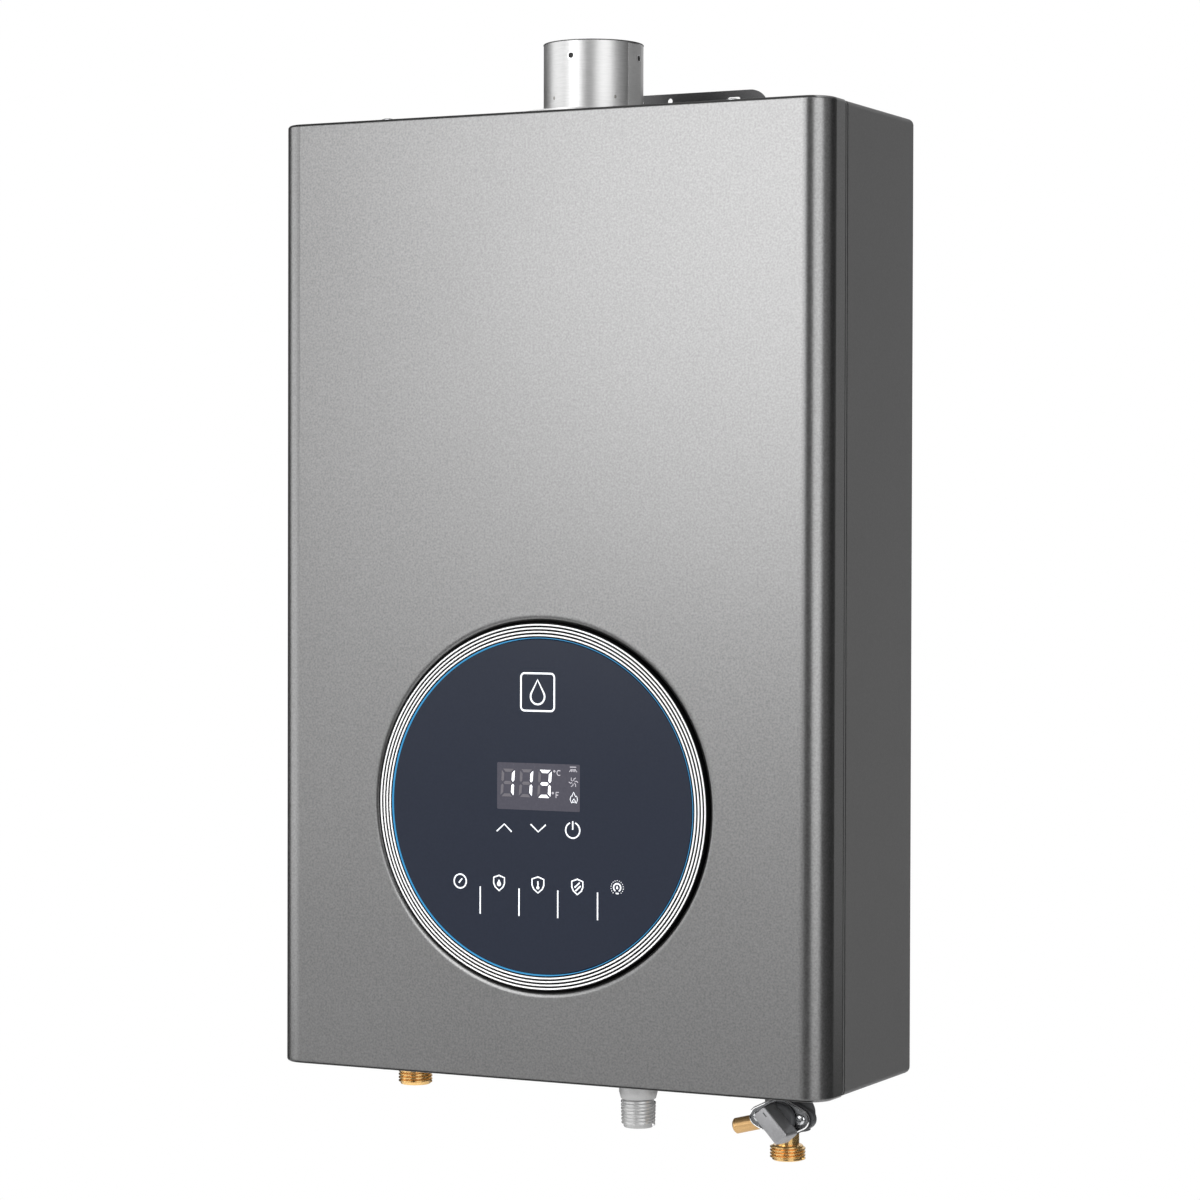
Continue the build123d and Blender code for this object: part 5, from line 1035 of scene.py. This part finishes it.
# The skirt takes the dark nylon as painted shade for the dark recess behind the bar.
skirt = turned(((0, 0), (9.5, 0), (9.3, 2.4), (8.7, 3.2), (7.6, 3.6), (0, 3.6)), 48)
bmesh.ops.transform(skirt, matrix=on_stem, verts=skirt.verts[:])
set_piece("drain_knob_skirt", skirt, dark_moulding, body="knob")
bar_long, bar_wide, bar_foot = 24 * mm, 11 * mm, 2 * mm
bar_corner, bar_edge = 2.2 * mm, 0.8 * mm
bar_taper = (0.93, 0.86, 1)
bar_shift, bar_turn = (0.3 * mm, -2.1 * mm, 0), radians(-48)
grip = bmesh.new()
bmesh.ops.create_cube(grip, size=1.0)
bmesh.ops.scale(grip, vec=(bar_long, bar_wide, knob_tall - bar_foot), verts=grip.verts[:])
bmesh.ops.translate(grip, vec=(0, 0, (knob_tall + bar_foot) / 2), verts=grip.verts[:])
front_verts = [v for v in grip.verts if v.co.z > knob_tall / 2]
bmesh.ops.scale(grip, vec=bar_taper, verts=front_verts)
upright = [e for e in grip.edges if abs(e.verts[0].co.z - e.verts[1].co.z) > mm]
bmesh.ops.bevel(
    grip, geom=upright, offset=bar_corner, affect="EDGES", segments=4, profile=0.5, material=-1
)
front_edges = [e for e in grip.edges if min(v.co.z for v in e.verts) > knob_tall - front_slack]
bmesh.ops.bevel(
    grip, geom=front_edges, offset=bar_edge, affect="EDGES", segments=3, profile=0.5, material=-1
)
bar_place = on_stem @ Matrix.Translation(bar_shift) @ Matrix.Rotation(bar_turn, 4, "Z")
bmesh.ops.transform(grip, matrix=bar_place, verts=grip.verts[:])
# Silver paint on moulded nylon: a soft grey sheen with no hard highlight.
knob_paint = grained(
    "silver_painted_nylon", ("#8e8e90", "#9c9c9e"), 0.8, (0.34, 0.42), 0.01, metallic=0.7
)
set_piece(
    "drain_bar_knob", grip, knob_paint, body="knob", replaced=("drain_knob",)
)
# A dark line near one end: painted shade for the bar's index slot.
index_slot_shade = wire([[(-8.4, 1.6), (-5.2, 1.6)]], 0.8, 0.1)
bmesh.ops.translate(index_slot_shade, vec=(0, 0, knob_tall), verts=index_slot_shade.verts[:])
bmesh.ops.transform(index_slot_shade, matrix=bar_place, verts=index_slot_shade.verts[:])
set_piece("knob_index_slot_shade", index_slot_shade, dark_moulding, body="knob")

# Flow sensor, controller and switches: white and grey mouldings inside the case, clipped or screwed
# to its back, and glazed insulators on the electrodes.
# White ABS, an off-white satin.
white_moulding = grained("white_abs", ("#d6d5d0", "#e2e1dc"), 1, (0.35, 0.45), 0.006)
coat(white_moulding, "flow_sensor", "control_box", "control_lid")
# Acetal, a waxy mid grey.
grey_moulding = grained("grey_acetal", ("#8a8c8e", "#989a9c"), 1, (0.35, 0.45), 0.006)
coat(grey_moulding, "flow_turbine", "pressure_switch")
# Glazed ceramic, cream with a wet gloss.
ceramic = grained("glazed_ceramic", ("#e3ded3", "#efebe2"), 2, (0.15, 0.25), 0.003)
coat(ceramic, "electrode_insulators")

# Stage: a plain pale floor well below the heater, which hangs clear of it, and soft studio light.
# Softboxes stand in front, at both sides, low down, above and behind, in a dim grey room that the
# camera sees as white.
floor_radius, floor_z = 2.0, -1.3
floor_shape = bmesh.new()
bmesh.ops.create_circle(
    floor_shape, cap_ends=True, segments=96, radius=floor_radius,
    matrix=Matrix.Translation((0, 0, floor_z)),
)
floor_data = bpy.data.meshes.new("floor")
floor_shape.to_mesh(floor_data)
floor_shape.free()
floor = bpy.data.objects.new("floor", floor_data)
bpy.context.scene.collection.objects.link(floor)
# Pale matt board, which only lifts the light from below.
floor_data.materials.append(grained("pale_floor", ("#ececec", "#f3f3f3"), 6, (0.6, 0.7), 0.02))

light_aim = Vector((0, -0.08, -0.3))


def softbox(name, turn, rise, distance, width, height, power):
    """An area light that faces the heater from a turn to its right and a rise, in degrees."""
    data = bpy.data.lights.new(name, "AREA")
    data.shape = "RECTANGLE"
    data.size = width
    data.size_y = height
    data.energy = power
    lamp = bpy.data.objects.new(name, data)
    bpy.context.scene.collection.objects.link(lamp)
    level = cos(radians(rise))
    way = Vector((sin(radians(turn)) * level, -cos(radians(turn)) * level, sin(radians(rise))))
    lamp.location = light_aim + distance * way
    lamp.rotation_euler = way.to_track_quat("Z", "Y").to_euler()
    return lamp


softbox("key_softbox", -16.5, 15, 3.0, 1.44, 1.6, 38)
softbox("left_softbox", -37, 10, 3.0, 0.72, 1.5, 3.4)
softbox("left_strip_softbox", -66, 8, 3.0, 2.2, 2.2, 36)
softbox("low_softbox", -30, -9.5, 3.0, 2.8, 0.96, 8.4)
softbox("low_fill_softbox", 51, -15, 2.6, 1.8, 0.56, 2.6)
softbox("fill_softbox", 51, 10, 2.6, 1.8, 1.8, 33)
softbox("right_softbox", 89, 12, 2.6, 1.5, 1.4, 2.5)
softbox("top_softbox", 0, 84, 2.4, 2.4, 1.6, 32)
softbox("back_softbox", 186, 8, 3.0, 3.6, 2.4, 22)
world = bpy.data.worlds.new("studio")
world.use_nodes = True
bpy.context.scene.world = world
room = world.node_tree
room.nodes.clear()
seen = add_node(room, "ShaderNodeLightPath")
skyward = add_node(room, "ShaderNodeTexCoord")
height = add_node(room, "ShaderNodeSeparateXYZ", {}, {0: skyward.outputs["Generated"]})
ceiling = add_node(
    room, "ShaderNodeMapRange", {"From Min": 0.4, "From Max": 0.8, "To Min": 0.03, "To Max": 0.8},
    {"Value": height.outputs["Z"]},
)
grey_room = add_node(
    room, "ShaderNodeBackground", {"Color": srgb("#ffffff")}, {"Strength": ceiling.outputs[0]}
)
white_room = add_node(room, "ShaderNodeBackground", {"Color": srgb("#ffffff"), "Strength": 1.0})
both = add_node(
    room, "ShaderNodeMixShader", {},
    {0: seen.outputs["Is Camera Ray"], 1: grey_room.outputs[0], 2: white_room.outputs[0]},
)
add_node(room, "ShaderNodeOutputWorld", {}, {"Surface": both.outputs[0]})
bpy.context.scene.view_settings.view_transform = "Standard"
